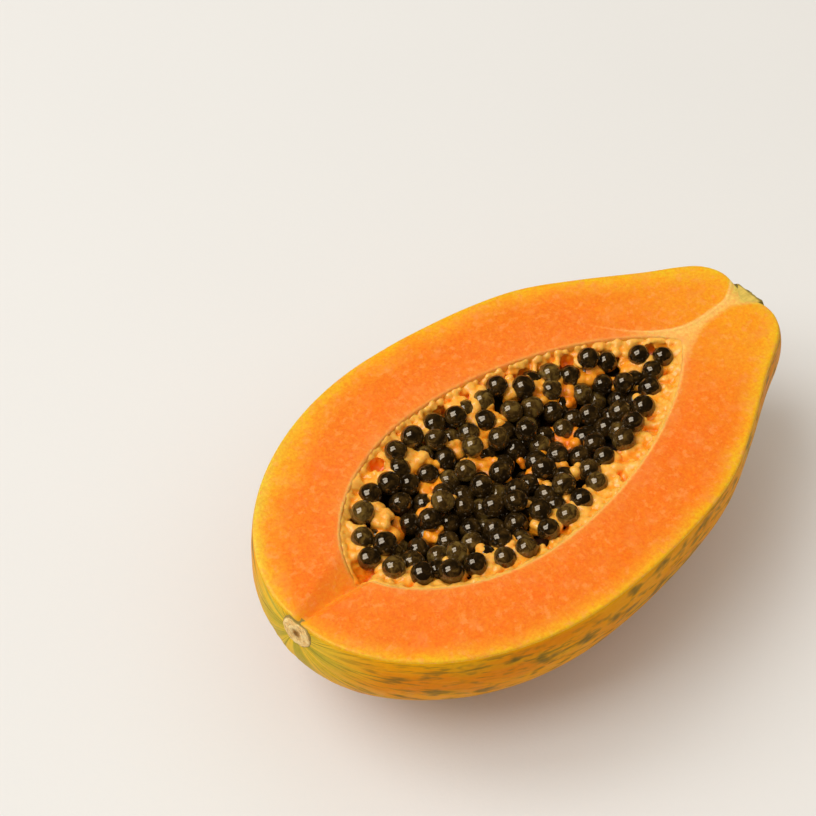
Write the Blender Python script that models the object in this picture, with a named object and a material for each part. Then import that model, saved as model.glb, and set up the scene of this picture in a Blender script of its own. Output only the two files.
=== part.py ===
"""Papaya half: a ripe fruit cut lengthwise, lying on its skin with its seeds in the hollow.

Two named objects are built, in metres: papaya_half, the flesh with its skin, the scar of the flower,
the cut stem end and the pulp round the hollow in one solid, and seeds, the heap of seeds in the hollow.
+X runs towards the stem and +Z out of the cut face. The origin is on the flat spot under the half.
Shapes are worked out in a frame of the fruit itself, whose first coordinate is the distance along the
fruit from its blossom end, and whose height is 0 on the cut face. placed() turns that into the frame above.
"""

import math
import random

import bmesh
import bpy
from mathutils import Vector

# Driving dimensions of the fruit
CUT_HALF_WIDTH = 0.0515  # widest half width of the cut face
BELLY_ALONG = 0.066  # where the fruit is widest
BLOSSOM_TIP = -0.0023  # where the cut face ends at the blossom end
AXIS_DEPTH = 0.009  # the cut runs this far above the fruit's own axis
FLATTENING = 0.86  # depth of the underside against a round section
NOSE_BULGE = 0.0012  # how far the blossom end swells below the cut
FLAT_RISE = 0.0012  # how much the flat spot takes off the underside
REST_ALONG = 0.078  # the middle of the weight, over the flat spot, which is the part's origin
# Distance along the fruit and radius there, from the belly to the sunken middle of the stem end
STEM_PROFILE = (
    (0.080, 0.0517),
    (0.100, 0.0491),
    (0.1175, 0.0446),
    (0.1337, 0.0364),
    (0.1500, 0.0269),
    (0.1600, 0.0218),
    (0.1650, 0.0187),
    (0.1679, 0.0152),
    (0.1688, 0.0122),
    (0.1682, 0.0100),
    (0.1670, 0.0078),
    (0.1664, 0.0040),
    (0.1663, 0.0),
)

# The hollow, as its rim shows on the cut face
RIM_MIDDLE = 0.066  # where the rim is widest
RIM_HALF_WIDTH = 0.0292
RIM_TO_BLOSSOM = 0.0475  # from its middle to its corner at the blossom end
RIM_TO_STEM = 0.0745  # from its middle to its corner at the stem end
RIM_OFFSET = -0.0009  # the hollow lies a little to one side
BLOSSOM_FULLNESS = 0.6  # how blunt the two corners are: 0.5 is an ellipse, 1 a point
STEM_FULLNESS = 0.8
PULP_BAND = 0.0032  # width of the band of knobs inside the rim
# Inset from the rim and height below the cut face, down the wall of the hollow to its floor
HOLLOW_WALL = (
    (0.0005, -0.0010),
    (0.0008, -0.0045),
    (0.0020, -0.0095),
    (0.0050, -0.0160),
    (0.0100, -0.0225),
    (0.0175, -0.0275),
)

# The crease from the hollow to the scar, and the flower's scar itself
CREASE_START = Vector((0.0215, -0.0034))  # along and across, at the hollow
CREASE_END = Vector((0.0004, -0.0048))
CREASE_DEPTHS = (0.0058, 0.0014)
CREASE_FAR_WIDTHS = (0.0100, 0.0030)  # the gentle side
CREASE_NEAR_WIDTHS = (0.0042, 0.0016)  # the steep side
CREASE_HOLLOWING = (1.6, 1.1)  # how hollow its two sides are: 1 is straight
CREASE_RUN_OUTS = (0.25, 1.0)  # shares of its length over which it fades out beyond its two ends
SCAR_CENTRE = Vector((-0.0023, -0.0036, -0.0058))
SCAR_RADIUS = 0.0054
SCAR_HEIGHT = 0.0006
SCAR_DISH = 0.0007  # how far the skin sinks round the scar

# The stem end
STUB_CENTRE = Vector((0.1700, -0.0012, -0.0060))
STUB_RADIUS = 0.0078
STUB_ROOT = 0.1600
STUB_CUT = -0.0004  # the stem is cut this far below the flesh

# Seeds and pulp
SEED_RADIUS = 0.00325
SEED_CONTACT = 0.0061  # distance between the centres of two seeds that touch
EDGE_SEED_INSET = 0.0055  # from the rim to the middle of a seed in the outer row
EDGE_SEED_STEP = 0.0074
EDGE_SEED_STRAY = 0.0006  # how far a seed of the outer row lies off it
EDGE_SEED_FALL = 0.0022  # how much lower than the highest it may lie
EDGE_SEED_MISSING = 0.16  # share of the outer row that is missing
NEAR_BAND = 0.0032  # how much wider the pulp is on the near side of the rim, towards the stem
NEAR_BAND_RUN = (0.060, 0.110)  # it widens between these places along the fruit
NEAR_BAND_BLEND = 0.008  # and over this distance from the middle of the hollow
EDGE_SEED_TOP = -0.0005  # highest that a seed's middle comes, against the cut face
SEED_DROPS = 195
SEED_REST = 0.45  # a seed's middle rests this share of its radius over the core
ROLL_STEP = 0.0007
ROLL_STEPS = 12
ROLL_DIRECTIONS = 8
HEAP_EDGE_DEPTH = 0.0028  # the core's top under the outer row, below the cut face
HEAP_MIDDLE_DEPTH = 0.0088
HEAP_SHOULDER = (0.006, 0.020)  # it slopes down between these distances from the rim
PIT_CENTRE = Vector((0.109, 0.003))  # the hole in the heap near the stem end
PIT_DEPTH = 0.0040
PIT_RADIUS = 0.012
KNOB_ROWS = (0.0012, 0.0036)  # insets of the two rows of knobs
KNOB_DEPTH = 0.0022  # from the cut face down to the middle of a knob
KNOB_STRAY = 0.0005
KNOB_STEP = 0.0034
KNOB_RADII = (0.0011, 0.0019)
KNOB_STRETCH = 1.2
GAP = 0.0003  # between the seeds and the flesh
CORE_CLEARANCE = 0.0013  # between the heap's core and the wall of the hollow

# How finely the shapes are divided
RING_POINTS = 96
END_CROWDING = 0.45  # how much closer the points stand at the two ends
SKIN_BANDS = 10
FACE_BANDS = 4
CORE_POINTS = 36
SEED_SEGMENTS = 5
SEED_RINGS = 4
FACET_ALLOWANCE = 1.13  # a faceted seed reaches this much further, to hold what a round one does
RANDOM_SEED = 14


def full_radius():
    """Radius of the whole fruit at its belly."""
    return math.hypot(CUT_HALF_WIDTH, AXIS_DEPTH)


def total_height():
    """Height of the half, from the flat spot to the cut face."""
    return AXIS_DEPTH + FLATTENING * full_radius() - FLAT_RISE


def placed(point):
    """Where the fruit's own (along, across, height over the cut face) lies in the part's frame."""
    return Vector((point[0] - REST_ALONG, point[1], point[2] + total_height()))


def smooth_line(points, steps):
    """Points on a smooth curve that passes through the given ones."""
    ends = [points[0], *points, points[-1]]
    line = []
    for i in range(1, len(ends) - 2):
        a, b, c, d = (Vector(p) for p in ends[i - 1 : i + 3])
        for k in range(steps):
            t = k / steps
            line.append(
                0.5 * (2 * b + (c - a) * t + (2 * a - 5 * b + 4 * c - d) * t * t
                       + (3 * b - a - 3 * c + d) * t**3)
            )
    line.append(Vector(points[-1]))
    return line


def fruit_profile():
    """(along, radius) from the blossom tip to the middle of the stem end."""
    radius = full_radius()
    # The nose is an ellipse that passes through the tip of the cut face
    nose = (BELLY_ALONG - BLOSSOM_TIP) * radius / CUT_HALF_WIDTH
    steps = 44
    arc = []
    for i in range(steps + 1):
        turn = math.pi / 2 * i / steps
        arc.append(Vector((BELLY_ALONG - nose * math.cos(turn), radius * math.sin(turn))))
    return arc + smooth_line(((BELLY_ALONG, radius), *STEM_PROFILE), 7)[1:]


PROFILE = fruit_profile()


def waterline(height):
    """Closed plan curve of the skin at a height, from its blossom end along the far side and back."""
    below = height < -AXIS_DEPTH
    reach = -(height + AXIS_DEPTH) / FLATTENING if below else height + AXIS_DEPTH
    side = []
    for a, b in zip(PROFILE, PROFILE[1:]):
        for first, last in ((a, b), (b, a)):
            if first.y <= reach < last.y:
                share = (reach - first.y) / (last.y - first.y)
                side.append(Vector((first.x + share * (last.x - first.x), 0)))
        if b.y > reach:
            side.append(Vector((b.x, math.sqrt(b.y**2 - reach**2))))
    swell = NOSE_BULGE * min(1, max(0, -height - AXIS_DEPTH / 2) / 0.02)
    for p in side:
        p.x -= swell * math.exp(-(((p.x - BLOSSOM_TIP) / 0.014) ** 2))
    return side + [Vector((p.x, -p.y)) for p in reversed(side[1:-1])]


def rim_curve(inset):
    """Closed plan curve of the hollow at an inset from its rim, from its blossom corner round."""
    curve = []
    steps = 160
    for i in range(steps):
        turn = math.pi - 2 * math.pi * i / steps
        blossom = math.cos(turn) < 0
        reach = RIM_TO_BLOSSOM if blossom else RIM_TO_STEM
        fullness = BLOSSOM_FULLNESS if blossom else STEM_FULLNESS
        along = RIM_MIDDLE + (reach - 1.25 * inset) * math.cos(turn)
        across = (RIM_HALF_WIDTH - inset) * abs(math.sin(turn)) ** (2 * fullness)
        curve.append(Vector((along, RIM_OFFSET + math.copysign(across, math.sin(turn)))))
    return curve


def ring(curve, count, crowding=END_CROWDING):
    """Points at even steps round a closed curve, closer together at its two ends."""
    closed = curve + [curve[0]]
    lengths = [0.0]
    for a, b in zip(closed, closed[1:]):
        lengths.append(lengths[-1] + (b - a).length)
    points = []
    k = 0
    for i in range(count):
        turn = i / count
        share = turn - crowding * math.sin(4 * math.pi * turn) / (4 * math.pi)
        target = share * lengths[-1]
        while lengths[k + 1] < target:
            k += 1
        part = (target - lengths[k]) / (lengths[k + 1] - lengths[k])
        points.append(closed[k].lerp(closed[k + 1], part))
    return points


def crease_depth(along, across):
    """How deep the crease is at a place on the cut face."""
    run = (along - CREASE_END.x) / (CREASE_START.x - CREASE_END.x)
    fade = min(1.0, 1 + run / CREASE_RUN_OUTS[0], 1 - (run - 1) / CREASE_RUN_OUTS[1])
    if fade <= 0:
        return 0.0
    t = min(1.0, max(0.0, run))
    side = across - (CREASE_END.y + t * (CREASE_START.y - CREASE_END.y))
    widths = CREASE_FAR_WIDTHS if side > 0 else CREASE_NEAR_WIDTHS
    width = widths[1] + t * (widths[0] - widths[1])
    depth = CREASE_DEPTHS[1] + t * (CREASE_DEPTHS[0] - CREASE_DEPTHS[1])
    share = max(0.0, 1 - abs(side) / width)
    hollowing = CREASE_HOLLOWING[0] if side > 0 else CREASE_HOLLOWING[1]
    return depth * share**hollowing * fade


def scar_dish(point):
    """How far the skin sinks towards the stem near the scar."""
    away = (Vector(point) - SCAR_CENTRE).length
    return SCAR_DISH * math.exp(-((away / (1.3 * SCAR_RADIUS)) ** 2))


def skin_rings():
    """Rings of the skin, from the flat spot up to the edge of the cut face."""
    rings = []
    bottom = -total_height()
    steepest = math.asin((-bottom - AXIS_DEPTH) / (FLATTENING * full_radius()))
    for i in range(SKIN_BANDS + 1):
        slope = steepest * (1 - i / SKIN_BANDS)
        height = -AXIS_DEPTH - FLATTENING * full_radius() * math.sin(slope)
        rings.append((height, waterline(height)))
    rings.append((-AXIS_DEPTH / 2, waterline(-AXIS_DEPTH / 2)))
    rings.append((-0.0008, waterline(-0.0008)))
    shaped = []
    for height, curve in rings:
        points = ring(curve, RING_POINTS)
        shaped.append([Vector((p.x + scar_dish((p.x, p.y, height)), p.y, height)) for p in points])
    return shaped


def face_rings():
    """Rings of the cut face, from just inside its edge to the rim of the hollow."""
    edge = ring(waterline(0.0), RING_POINTS)
    rim = ring(rim_curve(0.0), RING_POINTS)
    rings = []
    for i in range(FACE_BANDS + 1):
        share = 0.025 + 0.975 * i / FACE_BANDS
        points = []
        for a, b in zip(edge, rim):
            p = a.lerp(b, share)
            points.append(Vector((p.x, p.y, -crease_depth(p.x, p.y))))
        rings.append(points)
    return rings


def hollow_rings():
    """Rings of the hollow, from the inside of the rim down to its floor."""
    rings = []
    for inset, height in HOLLOW_WALL:
        points = []
        for p in ring(rim_curve(inset), RING_POINTS):
            points.append(Vector((p.x, p.y, height - crease_depth(p.x, p.y))))
        rings.append(points)
    return rings


def bridged(rings, name):
    """An object whose rings are bridged in turn, with a flat cap at each end."""
    bm = bmesh.new()
    loops = []
    for points in rings:
        verts = [bm.verts.new(placed(p)) for p in points]
        edges = [bm.edges.new((a, b)) for a, b in zip(verts, verts[1:] + verts[:1])]
        loops.append((verts, edges))
    for (_, first), (_, last) in zip(loops, loops[1:]):
        bmesh.ops.bridge_loops(bm, edges=first + last)
    bm.faces.new(loops[0][0])
    bm.faces.new(loops[-1][0])
    bmesh.ops.recalc_face_normals(bm, faces=bm.faces)
    return object_from(bm, name)


def object_from(bm, name):
    """A new object in the scene that holds the mesh."""
    mesh = bpy.data.meshes.new(name)
    bm.to_mesh(mesh)
    bm.free()
    made = bpy.data.objects.new(name, mesh)
    bpy.context.scene.collection.objects.link(made)
    return made


def ball(centre, radii, turn, segments, rings, name):
    """A faceted ball, stretched by radii and turned about its own axis, at a place in the fruit."""
    bm = bmesh.new()
    bmesh.ops.create_uvsphere(bm, u_segments=segments, v_segments=rings, radius=1.0)
    for v in bm.verts:
        v.co = Vector((v.co.x * radii[0], v.co.y * radii[1], v.co.z * radii[2]))
        v.co.rotate(turn.to_matrix())
    bmesh.ops.translate(bm, verts=bm.verts, vec=placed(centre))
    return object_from(bm, name)


def joined(body, pieces, solver="EXACT"):
    """Unites the pieces with the body in one Boolean, and removes them."""
    bundle = bpy.data.collections.new(body.name + "_pieces")
    bpy.context.scene.collection.children.link(bundle)
    for piece in pieces:
        bpy.context.scene.collection.objects.unlink(piece)
        bundle.objects.link(piece)
    union = body.modifiers.new("join pieces", "BOOLEAN")
    union.operation = "UNION"
    union.operand_type = "COLLECTION"
    union.collection = bundle
    union.solver = solver
    graph = bpy.context.evaluated_depsgraph_get()
    united = bpy.data.meshes.new_from_object(body.evaluated_get(graph))
    body.modifiers.clear()
    body.data = united
    for piece in list(bundle.objects):
        bpy.data.objects.remove(piece)
    bpy.data.collections.remove(bundle)
    keep_outer_shell(body)
    return body


def keep_outer_shell(body):
    """Fills pockets that joining sealed and drops loose scraps, by keeping the largest shell alone."""
    bm = bmesh.new()
    bm.from_mesh(body.data)
    waiting = set(bm.faces)
    shells = []
    while waiting:
        front = [waiting.pop()]
        shell = []
        while front:
            face = front.pop()
            shell.append(face)
            for edge in face.edges:
                for other in edge.link_faces:
                    if other in waiting:
                        waiting.remove(other)
                        front.append(other)
        shells.append(shell)
    shells.sort(key=len)
    scraps = [face for shell in shells[:-1] for face in shell]
    bmesh.ops.delete(bm, geom=scraps, context="FACES")
    bm.to_mesh(body.data)
    bm.free()


def near_band(along, across):
    """How much further in the heap starts at a place, where the near side's band of pulp is wide."""
    start, end = NEAR_BAND_RUN
    share = min(1.0, max(0.0, (along - start) / (end - start)))
    side = min(1.0, max(0.0, (RIM_OFFSET - across) / NEAR_BAND_BLEND))
    return NEAR_BAND * side * share * share * (3 - 2 * share)


def clearance(along, across, inset=0.0):
    """How far a place lies inside the hollow's rim, moved in by the inset, measured across the fruit."""
    blossom = along < RIM_MIDDLE
    reach = (RIM_TO_BLOSSOM if blossom else RIM_TO_STEM) - 1.25 * inset
    fullness = BLOSSOM_FULLNESS if blossom else STEM_FULLNESS
    share = (along - RIM_MIDDLE) / reach
    half_width = (RIM_HALF_WIDTH - inset) * max(0.0, 1 - share * share) ** fullness
    return half_width - abs(across - RIM_OFFSET) - near_band(along, across)


def heap_height(along, across):
    """Height of the heap's core, which dips in the middle and in the pit."""
    start, end = HEAP_SHOULDER
    share = min(1.0, max(0.0, (clearance(along, across) - start) / (end - start)))
    slope = share * share * (3 - 2 * share)
    depth = HEAP_EDGE_DEPTH + (HEAP_MIDDLE_DEPTH - HEAP_EDGE_DEPTH) * slope
    pit = (Vector((along, across)) - PIT_CENTRE).length / PIT_RADIUS
    return -depth - PIT_DEPTH * math.exp(-pit * pit)


def resting_height(seeds, along, across):
    """Height at which the middle of a seed let down at a place comes to rest."""
    height = heap_height(along, across) + SEED_REST * SEED_RADIUS
    for seed in seeds:
        spare = SEED_CONTACT**2 - (seed.x - along) ** 2 - (seed.y - across) ** 2
        if spare > 0:
            height = max(height, seed.z + math.sqrt(spare))
    return height


def rolled(seeds, along, across):
    """Where a seed let down at a place rolls to, as a point."""
    here = Vector((along, across, resting_height(seeds, along, across)))
    for _ in range(ROLL_STEPS):
        best = here
        for i in range(ROLL_DIRECTIONS):
            turn = 2 * math.pi * i / ROLL_DIRECTIONS
            x = here.x + ROLL_STEP * math.cos(turn)
            y = here.y + ROLL_STEP * math.sin(turn)
            if clearance(x, y, EDGE_SEED_INSET) > 0:
                height = resting_height(seeds, x, y)
                if height < best.z - 1e-6:
                    best = Vector((x, y, height))
        if best is here:
            break
        here = best
    return here


def seed_places():
    """Middles of the seeds: an outer row along the rim, then seeds dropped on the heap."""
    rng = random.Random(RANDOM_SEED)
    seeds = []
    row = rim_curve(EDGE_SEED_INSET)
    length = sum((b - a).length for a, b in zip(row, row[1:] + row[:1]))
    for place in ring(row, round(length / EDGE_SEED_STEP), 0.0):
        place += Vector((rng.uniform(-1, 1), rng.uniform(-1, 1))) * EDGE_SEED_STRAY
        place.y += near_band(place.x, place.y)
        height = EDGE_SEED_TOP - rng.uniform(0.0, EDGE_SEED_FALL)
        if rng.random() < EDGE_SEED_MISSING:
            continue
        if all((Vector((place.x, place.y, height)) - s).length > SEED_CONTACT for s in seeds):
            seeds.append(Vector((place.x, place.y, height)))
    for _ in range(SEED_DROPS):
        along = rng.uniform(RIM_MIDDLE - RIM_TO_BLOSSOM, RIM_MIDDLE + RIM_TO_STEM)
        across = RIM_OFFSET + rng.uniform(-RIM_HALF_WIDTH, RIM_HALF_WIDTH)
        if clearance(along, across, EDGE_SEED_INSET) < 0:
            continue
        seed = rolled(seeds, along, across)
        if seed.z < EDGE_SEED_TOP:
            seeds.append(seed)
    return seeds


def seed_turn(rng):
    """A turn of its own for a seed or a knob."""
    axis = Vector((rng.uniform(-1, 1), rng.uniform(-1, 1), rng.uniform(-1, 1)))
    return axis.normalized().rotation_difference(Vector((0, 0, 1)))


def knobs(seeds, rng):
    """Knobs of pulp along the inside of the rim, as large as the seeds leave room for."""
    made = []
    reach = SEED_RADIUS * FACET_ALLOWANCE * 1.07
    for inset in KNOB_ROWS:
        row = rim_curve(inset)
        length = sum((b - a).length for a, b in zip(row, row[1:] + row[:1]))
        for place in ring(row, round(length / KNOB_STEP), 0.0):
            deeper = crease_depth(place.x, place.y)
            middle = Vector((place.x, place.y, -KNOB_DEPTH - 0.2 * inset - deeper))
            stray = Vector((rng.uniform(-1, 1), rng.uniform(-1, 1), rng.uniform(-0.6, 1)))
            middle += stray * KNOB_STRAY
            room = min((middle - seed).length for seed in seeds) - reach - GAP
            inner = clearance(middle.x, middle.y) - PULP_BAND - CORE_CLEARANCE
            room = min(room, abs(inner) - GAP if inner < 0 else 0)
            radius = min(rng.uniform(*KNOB_RADII), room / KNOB_STRETCH)
            turn = seed_turn(rng)
            wide = rng.uniform(1 / KNOB_STRETCH, KNOB_STRETCH)
            if radius > 0.8 * KNOB_RADII[0]:
                made.append(ball(middle, (radius, radius * wide, radius), turn, 5, 3, f"knob_{len(made)}"))
    return made


def scar():
    """The flower's scar: a low round cushion with a raised edge and a sunken middle."""
    outline = ((0.0, -0.4), (0.35, -0.1), (0.7, 0.9), (0.92, 0.8), (1.08, -0.2), (1.0, -3.0))
    bm = bmesh.new()
    verts = [bm.verts.new((x * SCAR_RADIUS, 0, z * SCAR_HEIGHT)) for x, z in outline]
    verts.append(bm.verts.new((0, 0, -3.0 * SCAR_HEIGHT)))
    for a, b in zip(verts, verts[1:]):
        bm.edges.new((a, b))
    bmesh.ops.spin(
        bm, geom=bm.verts[:] + bm.edges[:], axis=(0, 0, 1), cent=(0, 0, 0),
        angle=2 * math.pi, steps=16, use_merge=True,
    )
    bmesh.ops.remove_doubles(bm, verts=bm.verts, dist=1e-6)
    bmesh.ops.recalc_face_normals(bm, faces=bm.faces)
    outwards = Vector((-1.0, -0.06, 0.10))
    turn = Vector((0, 0, 1)).rotation_difference(outwards).to_matrix().to_4x4()
    bmesh.ops.transform(bm, verts=bm.verts, matrix=turn)
    bmesh.ops.translate(bm, verts=bm.verts, vec=placed(SCAR_CENTRE))
    return object_from(bm, "scar")


def stub():
    """What is left of the stem: a short uneven plug, cut flat with the fruit."""
    bm = bmesh.new()
    length = STUB_CENTRE.x - STUB_ROOT
    bmesh.ops.create_cone(
        bm, cap_ends=True, segments=16, radius1=0.55 * STUB_RADIUS, radius2=STUB_RADIUS, depth=length
    )
    turn = Vector((0, 0, 1)).rotation_difference(Vector((1, 0, 0))).to_matrix().to_4x4()
    bmesh.ops.transform(bm, verts=bm.verts, matrix=turn)
    for v in bm.verts:
        if v.co.x > 0:
            lobe = math.cos(3 * math.atan2(v.co.z, v.co.y) + 0.6)
            v.co *= 1 + 0.05 * lobe
            v.co.x += 0.0005 * lobe
    middle = Vector((STUB_CENTRE.x - length / 2, STUB_CENTRE.y, STUB_CENTRE.z))
    bmesh.ops.translate(bm, verts=bm.verts, vec=placed(middle))
    cut = placed((0, 0, STUB_CUT))
    sliced = bmesh.ops.bisect_plane(
        bm, geom=bm.verts[:] + bm.edges[:] + bm.faces[:],
        plane_co=cut, plane_no=(0, 0, 1), clear_outer=True,
    )
    edges = [e for e in sliced["geom_cut"] if isinstance(e, bmesh.types.BMEdge)]
    bmesh.ops.holes_fill(bm, edges=edges, sides=0)
    bmesh.ops.recalc_face_normals(bm, faces=bm.faces)
    return object_from(bm, "stub")


def heap_core(rng):
    """The body of the heap under the seeds that show, clear of the hollow's wall."""
    rings = []
    for inset, height in reversed(HOLLOW_WALL[2:]):
        wall = rim_curve(inset + CORE_CLEARANCE)
        rings.append([(p.x, p.y, height + CORE_CLEARANCE) for p in ring(wall, CORE_POINTS)])
    for share in (0.0, 0.2, 0.4, 0.6, 0.8):
        across = rim_curve(PULP_BAND + CORE_CLEARANCE + share * RIM_HALF_WIDTH * 0.8)
        level = []
        for p in ring(across, CORE_POINTS):
            y = p.y + near_band(p.x, p.y)
            level.append((p.x, y, heap_height(p.x, y) - 0.0004 * rng.random()))
        rings.append(level)
    return bridged(rings, "seeds")


def seed_heap(seeds, rng):
    """The core with the seeds fused on."""
    pieces = []
    for i, seed in enumerate(seeds):
        size = SEED_RADIUS * FACET_ALLOWANCE * rng.uniform(0.95, 1.03)
        radii = (size, size, size * rng.uniform(1.0, 1.06))
        pieces.append(ball(seed, radii, seed_turn(rng), SEED_SEGMENTS, SEED_RINGS, f"seed_{i}"))
    return joined(heap_core(rng), pieces, "MANIFOLD")


def material(name, colour, roughness):
    """A plain finish with the part's own colour."""
    made = bpy.data.materials.new(name)
    made.use_nodes = True
    shader = made.node_tree.nodes["Principled BSDF"]
    shader.inputs["Base Color"].default_value = (*colour, 1)
    shader.inputs["Roughness"].default_value = roughness
    shader.inputs["Metallic"].default_value = 0.0
    return made


def dress(body, finishes):
    """Gives the object its finishes: the skin's is on the faces that look down or sideways."""
    body.data.materials.clear()
    for finish in finishes:
        body.data.materials.append(finish)
    top = placed((0, 0, 0)).z
    for face in body.data.polygons:
        middle = face.center
        in_hollow = clearance(middle.x + REST_ALONG, middle.y, -0.002) > 0 and middle.z > 0.02
        on_cut = face.normal.z > 0.7 and middle.z > top - 0.006
        face.material_index = 0 if in_hollow or on_cut else len(finishes) - 1
    body.data.shade_smooth()
    body.data.set_sharp_from_angle(angle=math.radians(40))


def build():
    """Models the half and its seeds."""
    for old in list(bpy.data.objects):
        bpy.data.objects.remove(old)
    rng = random.Random(RANDOM_SEED + 1)
    seeds = seed_places()
    body = bridged(skin_rings() + face_rings() + hollow_rings(), "papaya_half")
    joined(body, [scar(), stub(), *knobs(seeds, rng)])
    heap = seed_heap(seeds, rng)
    flesh = material("flesh", (0.93, 0.28, 0.05), 0.4)
    rind = material("rind", (0.62, 0.33, 0.02), 0.45)
    dark = material("seed", (0.035, 0.028, 0.015), 0.2)
    dress(body, [flesh, rind])
    dress(heap, [dark])


build()
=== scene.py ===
"""Looks of the papaya half: a ripe fruit cut lengthwise, lying on its skin with its seeds in the hollow.

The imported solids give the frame, in metres: +X runs towards the stem, +Z out of the cut face, and the
origin is on the flat spot under the half. The forms are worked out in a frame of the fruit itself, by the
same rules as the solids: the distance along it from its blossom end, the distance across it towards its
far side, and the height over the cut face. FruitForm.placed() turns that into the frame above.
"""

import logging
import math
import random
from collections.abc import Iterator
from dataclasses import dataclass, field
from enum import Enum
from functools import cached_property

import bpy
import numpy as np
from mathutils import Matrix, Vector, noise


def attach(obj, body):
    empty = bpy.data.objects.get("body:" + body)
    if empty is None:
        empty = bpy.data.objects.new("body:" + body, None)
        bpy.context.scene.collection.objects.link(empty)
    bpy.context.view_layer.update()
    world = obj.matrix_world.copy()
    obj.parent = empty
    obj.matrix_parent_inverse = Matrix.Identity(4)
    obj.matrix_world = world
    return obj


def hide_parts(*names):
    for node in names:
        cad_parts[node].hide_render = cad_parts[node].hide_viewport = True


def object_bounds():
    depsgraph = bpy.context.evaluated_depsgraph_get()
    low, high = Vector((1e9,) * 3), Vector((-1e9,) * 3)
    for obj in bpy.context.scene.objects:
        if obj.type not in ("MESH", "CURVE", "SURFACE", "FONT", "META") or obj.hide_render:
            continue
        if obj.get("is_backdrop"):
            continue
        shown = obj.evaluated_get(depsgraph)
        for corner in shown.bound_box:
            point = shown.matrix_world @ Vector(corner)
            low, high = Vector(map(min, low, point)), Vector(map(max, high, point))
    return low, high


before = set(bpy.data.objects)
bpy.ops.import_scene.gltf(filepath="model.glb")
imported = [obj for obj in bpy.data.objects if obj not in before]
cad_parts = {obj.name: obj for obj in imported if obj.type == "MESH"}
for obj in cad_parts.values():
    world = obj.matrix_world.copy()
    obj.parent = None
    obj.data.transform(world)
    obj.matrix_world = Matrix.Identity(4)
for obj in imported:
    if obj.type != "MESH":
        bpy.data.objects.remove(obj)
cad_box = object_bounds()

log = logging.getLogger("papaya")
RANDOM_SEED = 14
MIDDLE = 0.5
MIX_INPUTS = (0, 6, 7)
MIX_RESULT = 2
Colour = tuple[float, float, float]
Piece = bpy.types.Object
Socket = bpy.types.NodeSocket
Material = bpy.types.Material


class Slot(Enum):
    """The record's material slots."""

    FLESH = "flesh"
    RIND = "rind"
    PULP = "pulp"
    SEEDS = "seeds"
    STEM = "stem"


def shade(red: int, green: int, blue: int) -> Colour:
    """A colour as it shows on a screen, from 0 to 255, as the light's own shares."""
    return tuple(((c / 255 + 0.055) / 1.055) ** 2.4 if c > 10 else c / 3294.6 for c in (red, green, blue))


def ease(value: float, start: float, end: float) -> float:
    """Rises smoothly from 0 at start to 1 at end, which may lie the other way round."""
    share = min(1.0, max(0.0, (value - start) / (end - start)))
    return share * share * (3 - 2 * share)


def smooth_line(points: list[Vector], steps: int) -> list[Vector]:
    """Points on a smooth curve through the given ones.

    Args:
        points: Points that the curve passes through.
        steps: Points on the curve for each stretch between two of them.

    Returns:
        The curve's points, the given ends included.
    """
    ends = [points[0], *points, points[-1]]
    line = []
    for i in range(1, len(ends) - 2):
        a, b, c, d = (Vector(p) for p in ends[i - 1 : i + 3])
        for k in range(steps):
            t = k / steps
            bend = (2 * a - 5 * b + 4 * c - d) * t * t + (3 * b - a - 3 * c + d) * t**3
            line.append(0.5 * (2 * b + (c - a) * t + bend))
    line.append(Vector(points[-1]))
    return line


def length_of(curve: list[Vector]) -> float:
    """Length once round a closed curve."""
    return sum((b - a).length for a, b in zip(curve, curve[1:] + curve[:1]))


def ring(curve: list[Vector], count: int, crowding: float = 0.45) -> list[Vector]:
    """Points at even steps round a closed curve.

    Args:
        curve: The closed curve's points.
        count: How many points to give.
        crowding: How much closer together they stand at the curve's two ends.

    Returns:
        The points, from the curve's first one on.
    """
    closed = curve + [curve[0]]
    lengths = [0.0]
    for a, b in zip(closed, closed[1:]):
        lengths.append(lengths[-1] + (b - a).length)
    points = []
    k = 0
    for i in range(count):
        turn = i / count
        target = (turn - crowding * math.sin(4 * math.pi * turn) / (4 * math.pi)) * lengths[-1]
        while lengths[k + 1] < target:
            k += 1
        part = (target - lengths[k]) / (lengths[k + 1] - lengths[k])
        points.append(closed[k].lerp(closed[k + 1], part))
    return points


def pushed_out(points: list[Vector], reach: float) -> list[Vector]:
    """Moves each point of a ring outwards in plan, or inwards where reach is below 0."""
    moved = []
    for before, here, after in zip(points[-1:] + points[:-1], points, points[1:] + points[:1]):
        run = (after - before).normalized()
        moved.append(Vector((here.x - run.y * reach, here.y + run.x * reach)))
    return moved


def distances(places: np.ndarray, curve: list[Vector]) -> tuple[np.ndarray, np.ndarray]:
    """How far places in plan lie from a closed curve.

    Args:
        places: One row of two numbers for each place.
        curve: The closed curve's points.

    Returns:
        The distance of each place, and how far round the curve its nearest point is.
    """
    start = np.array([p.to_2d() for p in curve])
    run = np.roll(start, -1, 0) - start
    size = np.hypot(run[:, 0], run[:, 1])
    away = places[:, None, :] - start[None]
    share = np.clip((away * run).sum(2) / (size**2)[None], 0, 1)
    gap = np.hypot(*(away - share[..., None] * run[None]).transpose(2, 0, 1))
    nearest = gap.argmin(1)
    rows = np.arange(len(places))
    round_to = np.concatenate([[0], np.cumsum(size)[:-1]])
    return gap[rows, nearest], round_to[nearest] + share[rows, nearest] * size[nearest]


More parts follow.
